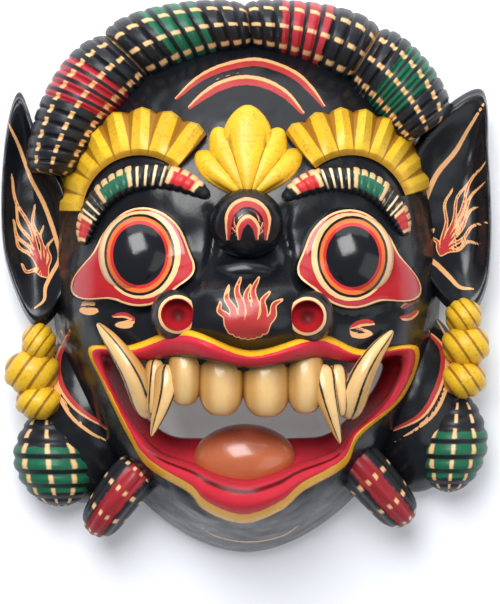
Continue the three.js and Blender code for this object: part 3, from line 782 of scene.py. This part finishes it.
def lips(paint):
    """A rolled edge carried round the mouth: a closed curve through the section's (share
    of the breadth, height)."""
    outer, inner, breadth = mouth_edges(180)
    at, crest = LIP["crest_at"], LIP["crest"]
    section = [[0, LIP["root"]], [0, LIP["edge"]], [0.45 * at, 0.85 * crest], [at, crest],
               [LIP["inner_at"], LIP["inner"]], [LIP["inner_at"], LIP["root"]]]
    rows = curve_at(section, np.arange(36) / 36, closed=True)
    share, lift = rows[:, 0][:, None], rows[:, 1][:, None]
    x, y = mix(outer[0], inner[0], share), mix(outer[1], inner[1], share)
    face = face_height(outer[0], outer[1])
    above = np.clip(1 + lift / -LIP["root"], 0, 1)
    z = face + above * np.maximum(0, face_height(x, y) - face) + lift
    return solid("lips", (x, y, z), paint, {"across": share * breadth, "along": share + 0 * x}, ring=True)


def throat(paint):
    """What is cut out for the mouth: it narrows from the lips to the opening, and on into the hollow."""
    outer, inner, breadth = mouth_edges(180)
    face = face_height(outer[0], outer[1])
    back = hollow_height(inner[0], inner[1]) + LIP["throat"]
    high = HEAD["height"] + 2 * NOSE["rise"] + 0 * face
    rows = [(LIP["inner_at"], high), (LIP["inner_at"], face + LIP["inner"]),
            (LIP["floor_at"], mix(face, back, LIP["floor"])), (1, back), (1, 0 * face - BELOW_RIM)]
    place = (len(rows) - 1) * np.clip((np.arange(41) - 1) / 38, 0, 1)
    first = np.minimum(place.astype(int), len(rows) - 2)
    w = place - first
    shares = np.array([share for share, _ in rows])
    heights = np.array([height for _, height in rows])
    share = mix(shares[first], shares[first + 1], w)[:, None]
    z = mix(heights[first], heights[first + 1], w[:, None])
    x, y = mix(outer[0], inner[0], share), mix(outer[1], inner[1], share)
    x[[0, -1]], y[[0, -1]] = MOUTH["x"], MOUTH["y"]
    return solid("throat", (x, y, z), paint, {"across": share * breadth, "along": share + 0 * x})


def incisor(tooth, paint):
    """A blunt tooth, with the place across and along it for its paint."""
    u, v = grid(44, 30)
    sideways, upwards = blunt_point(u, 1, 1, INCISOR["bluntness"])
    swing = np.sin(v * np.pi)
    fields = {"across": sideways * swing, "along": upwards * swing}
    return round_form("incisor", {**INCISOR, **tooth}, paint, 44, 30, fields=fields)


def tongue(paint):
    """The tongue, with the place across and along it for its paint."""
    u, v = grid(60, 36)
    fields = {"across": np.cos(u * TURN) * np.sin(v * np.pi), "along": np.sin(u * TURN) * np.sin(v * np.pi)}
    return round_form("tongue", TONGUE, paint, 60, 36, fields=fields)


def ear_drop(lobe, paint):
    """A lobe of the gold ear drop, grooved slantwise."""
    u, v = grid(48, 28)
    slant = lobe["half_x"] * np.cos(u * TURN) * lobe["side"] + 0.7 * lobe["half_y"] * np.sin(u * TURN)
    place = slant * np.sin(v * np.pi) / (2 * lobe["half_x"]) + 0.5
    factor = carved_lines(place, EAR_DROP["flutes"], EAR_DROP["flute"])
    fields = {"across": 0.5 + 0 * u, "along": 1 - 2 * np.abs(np.cos(np.pi * EAR_DROP["flutes"] * place)) ** 4}
    return round_form("ear_drop", {**EAR_DROP, **lobe}, paint, 48, 28, factor, fields)


def hair_bun(form, paint):
    """A bun: round below, drawn in to a neck above, grooved across between its strands."""
    u, v = grid(44, 8 * BUN["grooves"])
    up = -np.cos(v * np.pi)
    drawn_in = 1 - BUN["neck"] * np.maximum(0, up)
    swing = np.sin(v * np.pi) * carved_lines(v, BUN["grooves"], BUN["groove"]) * drawn_in
    x = form["x"] + form["slope"] * form["half_y"] * up + form["half_x"] * swing * np.cos(u * TURN)
    z = BUN["z"] + BUN["half_z"] * swing * np.sin(u * TURN)
    fields = {"across": 0.5 + 0.5 * np.cos(u * TURN), "along": v * BUN["grooves"] - 0.42 * BUN["grooves"]}
    return solid("hair_bun", (x, form["y"] + form["half_y"] * up, z), paint, fields)


def side_lock(lock, paint):
    """A thick lock at the jaw, grooved along its length."""
    ridges = {"count": 2 * SIDE_LOCK["ridges"], "depth": SIDE_LOCK["ridge"]}
    return horn("side_lock", lock["path"], lock["half"], SIDE_LOCK["tip"], SIDE_LOCK["flat"], paint, 60, 36,
                ridges)


# Shared paint effects


class Brush:
    """Adds nodes to one material's or group's tree and links them."""

    def __init__(self, tree):
        self.tree = tree

    def feed(self, socket, value):
        if isinstance(value, bpy.types.NodeSocket):
            self.tree.links.new(value, socket)
        else:
            socket.default_value = value

    def node(self, kind, inputs=None, **settings):
        made = self.tree.nodes.new(kind)
        for name, value in settings.items():
            setattr(made, name, value)
        for key, value in (inputs or {}).items():
            self.feed(made.inputs[key], value)
        return made

    def math(self, operation, *values):
        made = self.node("ShaderNodeMath", operation=operation)
        for socket, value in zip(made.inputs, values):
            self.feed(socket, value)
        return made.outputs[0]

    def value_of(self, field):
        return self.node("ShaderNodeAttribute", attribute_name=field).outputs["Fac"]

    def ease(self, value, start, end):
        """0 at start to 1 at end, smoothly."""
        inputs = {"Value": value, "From Min": start, "From Max": end}
        return self.node("ShaderNodeMapRange", inputs, interpolation_type="SMOOTHSTEP").outputs["Result"]

    def noise(self, scale, detail=2.0):
        place = self.node("ShaderNodeTexCoord").outputs["Object"]
        inputs = {"Vector": place, "Scale": scale, "Detail": detail}
        return self.node("ShaderNodeTexNoise", inputs).outputs[0]

    def layer(self, under, over, mask):
        """One paint over another where the mask is 1."""
        made = self.node("ShaderNodeMix", data_type="RGBA")
        self.feed(made.inputs[0], mask)
        self.feed(made.inputs[6], under)
        self.feed(made.inputs[7], over)
        return made.outputs[2]

    def both(self, *masks):
        whole = masks[0]
        for mask in masks[1:]:
            whole = self.math("MULTIPLY", whole, mask)
        return whole

    def within(self, reach, edge, wobble=0.2, softness=0.06):
        """A hand-painted area: 1 where the reach is under the edge, which wavers."""
        made = self.node("ShaderNodeGroup", node_tree=bpy.data.node_groups["brushed_edge"])
        for key, value in {"Reach": reach, "Edge": edge, "Wobble": wobble, "Softness": softness}.items():
            self.feed(made.inputs[key], value)
        return made.outputs["Mask"]

    def dash(self, place, centre, half, wobble=0.1, softness=0.05):
        """A painted band round a place."""
        away = self.math("ABSOLUTE", self.math("SUBTRACT", place, centre))
        return self.within(away, half, wobble, softness)


def node_group(name, inputs, outputs):
    """An empty shader group with named sockets; gives its brush and the sockets at its two ends."""
    group = bpy.data.node_groups.new(name, "ShaderNodeTree")
    for label, value in inputs.items():
        kind = "NodeSocketColor" if isinstance(value, tuple) else "NodeSocketFloat"
        group.interface.new_socket(label, in_out="INPUT", socket_type=kind).default_value = value
    for label, kind in outputs.items():
        group.interface.new_socket(label, in_out="OUTPUT", socket_type=kind)
    brush = Brush(group)
    return brush, brush.node("NodeGroupInput").outputs, brush.node("NodeGroupOutput").inputs


def make_brushed_edge():
    """A painted edge that wavers: a reach against an edge, moved by fine noise."""
    inputs = {"Reach": 0.0, "Edge": 1.0, "Wobble": 0.2, "Softness": 0.06}
    brush, given, made = node_group("brushed_edge", inputs, {"Mask": "NodeSocketFloat"})
    waver = brush.math("SUBTRACT", brush.noise(420.0, 3.0), 0.5)
    reach = brush.math("MULTIPLY_ADD", waver, given["Wobble"], given["Reach"])
    low = brush.math("SUBTRACT", given["Edge"], given["Softness"])
    high = brush.math("ADD", given["Edge"], given["Softness"])
    brush.feed(made["Mask"], brush.ease(reach, high, low))


def make_aged_paint():
    """Old paint: cloudy in tone, rubbed thin on crests to a paler coat, with fine dust in the gloss."""
    inputs = {"Color": (0.5, 0.5, 0.5, 1), "Rubbed": (0.5, 0.4, 0.3, 1), "Cloud": 0.25, "Wear": 0.4,
              "Gloss": 0.35}
    outputs = {"Color": "NodeSocketColor", "Roughness": "NodeSocketFloat"}
    brush, given, made = node_group("aged_paint", inputs, outputs)
    cloud = brush.math("SUBTRACT", brush.noise(70.0, 4.0), 0.5)
    tone = brush.math("MULTIPLY_ADD", brush.math("MULTIPLY", cloud, given["Cloud"]), 2.0, 1.0)
    toned = brush.node("ShaderNodeMix", data_type="RGBA", blend_type="MULTIPLY")
    brush.feed(toned.inputs[0], 1.0)
    brush.feed(toned.inputs[6], given["Color"])
    grey = brush.node("ShaderNodeCombineColor", {"Red": tone, "Green": tone, "Blue": tone})
    brush.feed(toned.inputs[7], grey.outputs[0])
    crest = brush.node("ShaderNodeNewGeometry").outputs["Pointiness"]
    scuffed = brush.math("MULTIPLY_ADD", brush.noise(260.0, 4.0), 0.16, crest)
    rubbed = brush.math("MULTIPLY", brush.ease(scuffed, 0.63, 0.72), given["Wear"])
    brush.feed(made["Color"], brush.layer(toned.outputs[2], given["Rubbed"], rubbed))
    dust = brush.math("MULTIPLY_ADD", brush.noise(160.0, 5.0), 0.22,
                      brush.math("SUBTRACT", given["Gloss"], 0.11))
    brush.feed(made["Roughness"], brush.math("MULTIPLY_ADD", rubbed, 0.25, dust))


def make_carved_surface():
    """The carver's flats and the brush's ridges, as a height in millimetres."""
    inputs = {"Flats": 0.25, "Ridges": 0.03}
    brush, given, made = node_group("carved_surface", inputs, {"Height": "NodeSocketFloat"})
    place = brush.node("ShaderNodeTexCoord").outputs["Object"]
    cuts = brush.node("ShaderNodeTexVoronoi", {"Vector": place, "Scale": 130.0},
                      feature="SMOOTH_F1").outputs["Distance"]
    worked = brush.math("MULTIPLY_ADD", cuts, 0.35, brush.noise(75.0, 1.0))
    flats = brush.math("MULTIPLY", worked, given["Flats"])
    ridges = brush.math("MULTIPLY", brush.noise(900.0, 2.0), given["Ridges"])
    brush.feed(made["Height"], brush.math("ADD", flats, ridges))


def painted(name, colour_of, rubbed=CREAM, cloud=0.25, wear=0.3, gloss=0.35, coat=0.05, flats=0.25,
            shine=0.35):
    """A lacquered paint: its pattern, then age over it, and the carved surface under it."""
    material = bpy.data.materials.new(name)
    material.use_nodes = True
    brush = Brush(material.node_tree)
    shader = material.node_tree.nodes["Principled BSDF"]
    aged = brush.node("ShaderNodeGroup", node_tree=bpy.data.node_groups["aged_paint"])
    settings = {"Color": colour_of(brush), "Rubbed": rubbed, "Cloud": cloud, "Wear": wear, "Gloss": gloss}
    for key, value in settings.items():
        brush.feed(aged.inputs[key], value)
    brush.feed(shader.inputs["Base Color"], aged.outputs["Color"])
    brush.feed(shader.inputs["Roughness"], aged.outputs["Roughness"])
    carved = brush.node("ShaderNodeGroup", node_tree=bpy.data.node_groups["carved_surface"])
    carved.inputs["Flats"].default_value = flats
    bump = brush.node("ShaderNodeBump", {"Height": carved.outputs["Height"], "Distance": MM, "Strength": 1.0})
    brush.feed(shader.inputs["Normal"], bump.outputs["Normal"])
    shader.inputs["Specular IOR Level"].default_value = shine
    shader.inputs["Coat Weight"].default_value = coat
    shader.inputs["Coat Roughness"].default_value = 0.16
    return material


# Paints


def lacquer_colour(brush):
    """Black, with flames and brush strokes; a red stroke has a tan edge on its right."""
    side, far, flame = (brush.value_of(field) for field in ("side", "far", "blaze"))
    colour = brush.layer(BLACK, TAN, brush.within(flame, 0.38, 0.2))
    colour = brush.layer(colour, STROKE_RED, brush.within(flame, 0.02, 0.25))
    stroke = brush.both(brush.within(brush.math("ABSOLUTE", side), 1.0, 0.3, 0.1), brush.within(far, 1.5))
    edge = brush.within(side, -0.3, 0.3, 0.1)
    plain = brush.math("GREATER_THAN", brush.value_of("plain"), 0.5)
    colour = brush.layer(colour, STROKE_RED, stroke)
    return brush.layer(colour, TAN, brush.both(stroke, brush.math("MAXIMUM", edge, plain)))


def strand_dashes(brush, rows, half):
    """Short dashes on each strand, in rows across the hair."""
    across, along = brush.value_of("across"), brush.value_of("along")
    strand = brush.math("FRACT", along)
    on_strand = brush.dash(strand, 0.5, 0.31, 0.12)
    in_row = brush.dash(across, rows[0], half, 0.03, 0.015)
    for row in rows[1:]:
        in_row = brush.math("MAXIMUM", in_row, brush.dash(across, row, half, 0.03, 0.015))
    return brush.both(on_strand, in_row)


def hair_colour(patch):
    """Black strands with cream dashes, and a patch of coloured strands."""
    def colour_of(brush):
        along = brush.value_of("along")
        coloured = brush.both(brush.dash(along, 0.0, 1.6, 0.3),
                              brush.dash(brush.math("FRACT", along), 0.5, 0.35, 0.12))
        colour = brush.layer(SOFT_BLACK, patch, coloured)
        return brush.layer(colour, CREAM, strand_dashes(brush, HAIR_DASHES["rows"], HAIR_DASHES["half"]))
    return colour_of


def lock_colour(brush):
    """Red stripes along the lock, with cream dashes."""
    across, along = brush.value_of("across"), brush.value_of("along")
    colour = brush.layer(SOFT_BLACK, LOCK_RED, brush.dash(across, 0.0, 0.45, 0.25))
    rows = brush.dash(brush.math("FRACT", brush.math("MULTIPLY", along, 4.0)), 0.5, 0.09, 0.1)
    stripes = brush.dash(brush.math("FRACT", brush.math("MULTIPLY", across, 2.5)), 0.5, 0.22, 0.1)
    return brush.layer(colour, CREAM, brush.both(rows, stripes))


def gold_colour(brush):
    """Yellow gold on the crests, with painted shade in ochre in the folds, in wedges that open outwards, and
    at the foot.
    """
    along, across = brush.value_of("along"), brush.value_of("across")
    wedge = brush.math("MULTIPLY_ADD", across, 0.85, -0.95)
    fold = brush.within(along, wedge, 0.25, 0.12)
    foot = brush.ease(across, 0.2, 0.02)
    streaks = brush.ease(brush.noise(900.0, 4.0), 0.52, 0.72)
    # Painted shade: ochre in the folds and at the foot, where the gold meets the face; the streaks are the
    # gold's own uneven tone.
    colour = brush.layer(GOLD, OCHRE, brush.math("MULTIPLY", fold, 0.9))
    colour = brush.layer(colour, OCHRE, brush.math("MULTIPLY", foot, 0.7))
    return brush.layer(colour, OCHRE, brush.math("MULTIPLY", streaks, 0.4))


def eye_colour(brush):
    """Rings about the pupil: black, a red line, orange, black and cream; then the red lid
    and its cream outline."""
    ring, inwards = brush.value_of("across"), brush.value_of("along")
    colour = brush.layer(LID_RED, CREAM, brush.within(brush.value_of("side"), 15.4, 0.4))
    colour = brush.layer(colour, CREAM, brush.within(inwards, 1.0, 0.4))
    colour = brush.layer(colour, BLACK, brush.within(inwards, 0.3, 0.2))
    for paint, radius in EYE_RINGS:
        colour = brush.layer(colour, paint, brush.within(ring, radius, 0.3))
    return colour


def brow_colour(brush):
    """Black hairs with white ticks, and red and green tufts edged with cream."""
    across, along = brush.value_of("across"), brush.value_of("along")
    comb = brush.math("FRACT", brush.math("MULTIPLY", along, float(EYEBROW["combs"])))
    ticks = brush.both(brush.dash(comb, 0.5, 0.15, 0.12), brush.within(brush.math("ABSOLUTE", across), 0.75))
    ticked = [brush.dash(along, centre, half, 0.02, 0.01) for centre, half in BROW_TICKS]
    white = brush.math("MAXIMUM", *ticked)
    colour = brush.layer(SOFT_BLACK, PALE, brush.both(ticks, white))
    upper = brush.within(brush.math("MULTIPLY", across, -1.0), 0.55, 0.3)
    crown = brush.within(brush.math("MULTIPLY", across, -1.0), -0.5, 0.3)
    for tuft, centre, half in BROW_TUFTS:
        colour = brush.layer(colour, tuft, brush.both(brush.dash(along, centre, half, 0.02, 0.008), upper))
        tipped = brush.both(brush.dash(along, centre, half + 0.02, 0.02, 0.008), crown,
                            brush.dash(comb, 0.5, 0.36, 0.15))
        colour = brush.layer(colour, CREAM, tipped)
        for end in (centre - half, centre + half):
            colour = brush.layer(colour, CREAM, brush.both(brush.dash(along, end, 0.012, 0.01, 0.005), upper))
    return colour


def lip_colour(brush):
    """An orange-gold outline, red lips darkened inwards by painted shade, and black about the roots of the
    teeth.
    """
    inwards, share = brush.value_of("across"), brush.value_of("along")
    place = brush.node("ShaderNodeTexCoord").outputs["Object"]
    apart = brush.node("ShaderNodeSeparateXYZ", {"Vector": place}).outputs
    upper = brush.both(brush.ease(apart["Y"], -0.044, -0.036),
                       brush.ease(brush.math("ABSOLUTE", apart["X"]), 0.039, 0.034))
    # Painted shade: the red darkens towards the throat, and a darker band lies across the lower lip's inner
    # slope.
    colour = brush.layer(LIP_RED, SHADE_RED, brush.math("MULTIPLY", brush.ease(share, 0.30, 0.46), 0.3))
    colour = brush.layer(colour, SHADE_RED, brush.math("MULTIPLY", brush.ease(share, 0.55, 1.0), 0.7))
    below = brush.ease(apart["Y"], -0.058, -0.064)
    colour = brush.layer(colour, SHADE_RED, brush.both(brush.dash(share, 0.4, 0.028, 0.015, 0.02), below))
    colour = brush.layer(colour, BLACK, brush.both(brush.ease(share, 0.44, 0.52), upper))
    low = brush.math("MULTIPLY_ADD", brush.ease(apart["Y"], -0.060, -0.068), 1.2, 1.9)
    return brush.layer(colour, LIP_GOLD, brush.within(inwards, low, 0.5))


def tooth_colour(brush):
    """Old ivory, with a painted highlight along its middle and painted shade at its sides."""
    across = brush.math("ABSOLUTE", brush.value_of("across"))
    # Painted highlight down the middle, and painted shade towards the sides, ochre at the edges.
    colour = brush.layer(TOOTH_PALE, TOOTH, brush.ease(across, 0.1, 0.6))
    return brush.layer(colour, OCHRE, brush.ease(across, 0.74, 1.0))


def tusk_colour(brush):
    """Ivory with a dark line drawn along its side, pale on one side and darkened towards the other by painted
    shade.
    """
    across = brush.value_of("across")
    # Painted light and shade: pale on one side of the horn, darker towards the other.
    colour = brush.layer(TOOTH_PALE, TOOTH, brush.ease(across, -0.2, 0.6))
    colour = brush.layer(colour, BLACK, brush.dash(across, 0.32, 0.09, 0.12))
    return brush.layer(colour, BLACK, brush.dash(across, -0.86, 0.08, 0.1))


def tongue_colour(brush):
    """Clay red, lighter at the tip, and darkened at the root by painted shade."""
    # Painted shade: the clay darkens towards the root, at the back of the mouth.
    colour = brush.layer(CLAY, CLAY_SHADE, brush.ease(brush.value_of("along"), 0.0, 0.8))
    tip = brush.ease(brush.value_of("along"), -0.3, -0.9)
    return brush.layer(colour, ORANGE, brush.math("MULTIPLY", tip, 0.4))


def wing_colour(brush):
    """Black with a cream ring about the nostril and a red edge inside it."""
    ring = brush.value_of("across")
    colour = brush.layer(BLACK, CREAM, brush.within(ring, 6.7, 0.4))
    return brush.layer(colour, NOSTRIL_RED, brush.within(ring, 5.7, 0.3))


def wood_colour(brush):
    """Pale wood with darker grain along the mask."""
    place = brush.node("ShaderNodeTexCoord").outputs["Object"]
    stretched = brush.node("ShaderNodeMapping", {"Vector": place, "Scale": (1.0, 0.12, 1.0)})
    grain = brush.node("ShaderNodeTexNoise", {"Vector": stretched.outputs[0], "Scale": 240.0, "Detail": 4.0})
    return brush.layer(WOOD, WOOD_DARK, brush.ease(grain.outputs[0], 0.42, 0.66))


def nostril_colour(brush):
    """Red with painted shade that darkens it to the middle and the upper side of the bowl."""
    # Painted shade: darker in the middle of the bowl and on its upper side.
    dark = brush.math("MAXIMUM", brush.ease(brush.value_of("across"), 0.75, 0.2),
                      brush.ease(brush.value_of("along"), 0.1, 0.8))
    return brush.layer(NOSTRIL_RED, SHADE_RED, dark)


make_brushed_edge()
make_aged_paint()
make_carved_surface()
LACQUER = painted("black_lacquer", lacquer_colour, rubbed=WOOD_DARK, wear=0.08, gloss=0.26, flats=1.5,
                  shine=0.34)
HAIR_PAINT = {
    "red": painted("hair_with_red", hair_colour(HAIR_RED), gloss=0.4, flats=0.15, shine=0.25),
    "green": painted("hair_with_green", hair_colour(GREEN), gloss=0.4, flats=0.15, shine=0.25),
}
LOCK_PAINT = painted("hair_lock", lock_colour, gloss=0.4, flats=0.15)
GOLD_PAINT = painted("gold", gold_colour, rubbed=PALE, gloss=0.4, flats=0.3)
EYE_PAINT = painted("eye", eye_colour, gloss=0.15, coat=0.2, flats=0.08, wear=0.0)
BROW_PAINT = painted("eyebrow", brow_colour, gloss=0.4, flats=0.15)
LIP_PAINT = painted("lip_red", lip_colour, gloss=0.28, coat=0.08, wear=0.0, shine=0.1)
TOOTH_PAINT = painted("tooth", tooth_colour, rubbed=TOOTH_PALE, gloss=0.3, coat=0.4)
TUSK_PAINT = painted("tusk", tusk_colour, rubbed=TOOTH_PALE, gloss=0.3, coat=0.4)
TONGUE_PAINT = painted("tongue", tongue_colour, gloss=0.26, coat=0.6, flats=0.5, wear=0.0)
WING_PAINT = painted("nostril_wing", wing_colour, rubbed=WOOD_DARK, gloss=0.32)
HOLE_PAINT = painted("nostril_hole", nostril_colour, gloss=0.5, wear=0.0, shine=0.1)
BARE_WOOD = painted("bare_wood", wood_colour, rubbed=WOOD, gloss=0.7, coat=0.0, flats=0.6, wear=0.2)


# The mask


def gather(name, objects):
    """A collection for one step of the carving."""
    collection = bpy.data.collections.new(name)
    bpy.context.scene.collection.children.link(collection)
    for made in objects:
        collection.objects.link(made)
    return collection


def carve():
    """Joins the carved forms to the block, opens it, adds what is in the mouth, and opens the nostrils."""
    carved = [
        *[hair_roll(roll, HAIR_PAINT[roll["paint"]]) for roll in HAIR_ROLLS],
        ear(EAR_LEFT, LEFT, EAR_LINES[0], EAR_FLAMES[0], LACQUER),
        ear(EAR_RIGHT, RIGHT, EAR_LINES[1], EAR_FLAMES[1], LACQUER),
        *[round_form("temple", form, LACQUER, 72, 64, fields=face_strokes) for form in TEMPLES],
        *[ear_drop(lobe, GOLD_PAINT) for lobe in EAR_DROPS],
        *[hair_bun(form, HAIR_PAINT["green"]) for form in BUNS],
        *[side_lock(lock, LOCK_PAINT) for lock in SIDE_LOCKS],
        *[eyelid(eye, EYE_PAINT) for eye in EYES],
        *[eyeball(eye, EYE_PAINT) for eye in EYES],
        *[eyebrow(eye, BROW_PAINT) for eye in EYES],
        *[gold_band(band, GOLD_PAINT) for band in BANDS],
        *[petal(form, GOLD_PAINT) for form in PETALS],
        brow_ball(LACQUER),
        wrinkle(LACQUER),
        *[nostril_wing(place, WING_PAINT) for place in NOSTRILS],
    ]
    openings = [under_rim(BARE_WOOD), hollow(BARE_WOOD), throat(LIP_PAINT)]
    mouth = [
        lips(LIP_PAINT),
        *[incisor(tooth, TOOTH_PAINT) for tooth in INCISORS],
        *[horn("fang", way, FANG["half"], FANG["tip"], FANG["flat"], TUSK_PAINT, 32, 36) for way in FANGS],
        *[horn("side_tooth", way, SIDE_TOOTH["half"], SIDE_TOOTH["tip"], SIDE_TOOTH["flat"],
               TUSK_PAINT, 28, 30)
          for way in SIDE_TEETH],
        *[horn("tusk", way, TUSK["half"], TUSK["tip"], TUSK["flat"], TUSK_PAINT, 36, 44) for way in TUSKS],
        tongue(TONGUE_PAINT),
    ]
    holes = [nostril_hole(place, HOLE_PAINT) for place in NOSTRILS]
    steps = [("carved", carved, "UNION"), ("opened", openings, "DIFFERENCE"), ("mouth", mouth, "UNION"),
             ("nostrils", holes, "DIFFERENCE")]
    whole = block(LACQUER)
    bpy.context.scene.collection.objects.link(whole)
    collections = []
    for name, objects, operation in steps:
        collections.append(gather(name, objects))
        step = whole.modifiers.new(name, "BOOLEAN")
        step.operand_type = "COLLECTION"
        step.collection = collections[-1]
        step.operation = operation
        step.solver = "MANIFOLD"
        step.material_mode = "TRANSFER"
    bpy.context.view_layer.update()
    made = bpy.data.meshes.new_from_object(whole.evaluated_get(bpy.context.evaluated_depsgraph_get()))
    for used in [whole, *[o for c in collections for o in c.objects]]:
        bpy.data.meshes.remove(used.data)
    for collection in collections:
        bpy.data.collections.remove(collection)
    made.name = "mask_carving"
    made.shade_smooth()
    made.set_sharp_from_angle(angle=np.radians(SHARP_EDGE))
    piece = bpy.data.objects.new("mask_carving", made)
    bpy.context.scene.collection.objects.link(piece)
    return piece


# Stage, camera and light

FLOOR = {"half": 6000.0, "colour": (0.83, 0.85, 0.90, 1), "glow": 0.17}
LIGHTS = table("name place size power", [
    ("window", (-120, 330, 720), (420, 520), 7.5),
    ("sky", (60, 900, 420), (1300, 700), 5.0),
    ("side_fill", (620, -260, 620), (700, 700), 1.6),
])
WORLD = {"colour": (0.95, 0.97, 1.0, 1), "strength": 0.25}


def floor():
    """A wide plain floor under the rim."""
    reach = FLOOR["half"] * MM
    mesh = bpy.data.meshes.new("floor")
    corners = [(-reach, -reach, 0), (reach, -reach, 0), (reach, reach, 0), (-reach, reach, 0)]
    mesh.from_pydata(corners, [], [(0, 1, 2, 3)])
    material = bpy.data.materials.new("pale_floor")
    material.use_nodes = True
    shader = material.node_tree.nodes["Principled BSDF"]
    shader.inputs["Base Color"].default_value = FLOOR["colour"]
    shader.inputs["Roughness"].default_value = 0.7
    shader.inputs["Emission Color"].default_value = FLOOR["colour"]
    shader.inputs["Emission Strength"].default_value = FLOOR["glow"]
    mesh.materials.append(material)
    made = bpy.data.objects.new("floor", mesh)
    bpy.context.scene.collection.objects.link(made)


def camera():
    """Straight down on the mask, its frame's height the field at the floor."""
    made = bpy.data.objects.new("camera", bpy.data.cameras.new("camera"))
    made.data.sensor_width = 36
    made.data.lens = 36 * CAMERA["height"] / CAMERA["field"]
    made.location = (CAMERA["x"] * MM, CAMERA["y"] * MM, CAMERA["height"] * MM)
    bpy.context.scene.collection.objects.link(made)
    bpy.context.scene.camera = made


def lights():
    """Soft area lights turned to the middle of the mask, and an even pale surround."""
    for lamp in LIGHTS:
        data = bpy.data.lights.new(lamp["name"], "AREA")
        data.shape = "RECTANGLE"
        data.size = lamp["size"][0] * MM
        data.size_y = lamp["size"][1] * MM
        data.energy = lamp["power"]
        made = bpy.data.objects.new(lamp["name"], data)
        made.location = [MM * p for p in lamp["place"]]
        made.rotation_euler = made.location.to_track_quat("Z", "Y").to_euler()
        bpy.context.scene.collection.objects.link(made)
    world = bpy.data.worlds.new("surround")
    world.use_nodes = True
    surround = world.node_tree.nodes["Background"]
    surround.inputs["Color"].default_value = WORLD["colour"]
    surround.inputs["Strength"].default_value = WORLD["strength"]
    bpy.context.scene.world = world
    bpy.context.scene.view_settings.view_transform = "Standard"


camera()
mask = carve()
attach(mask, "root")
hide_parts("mask")
floor()
lights()
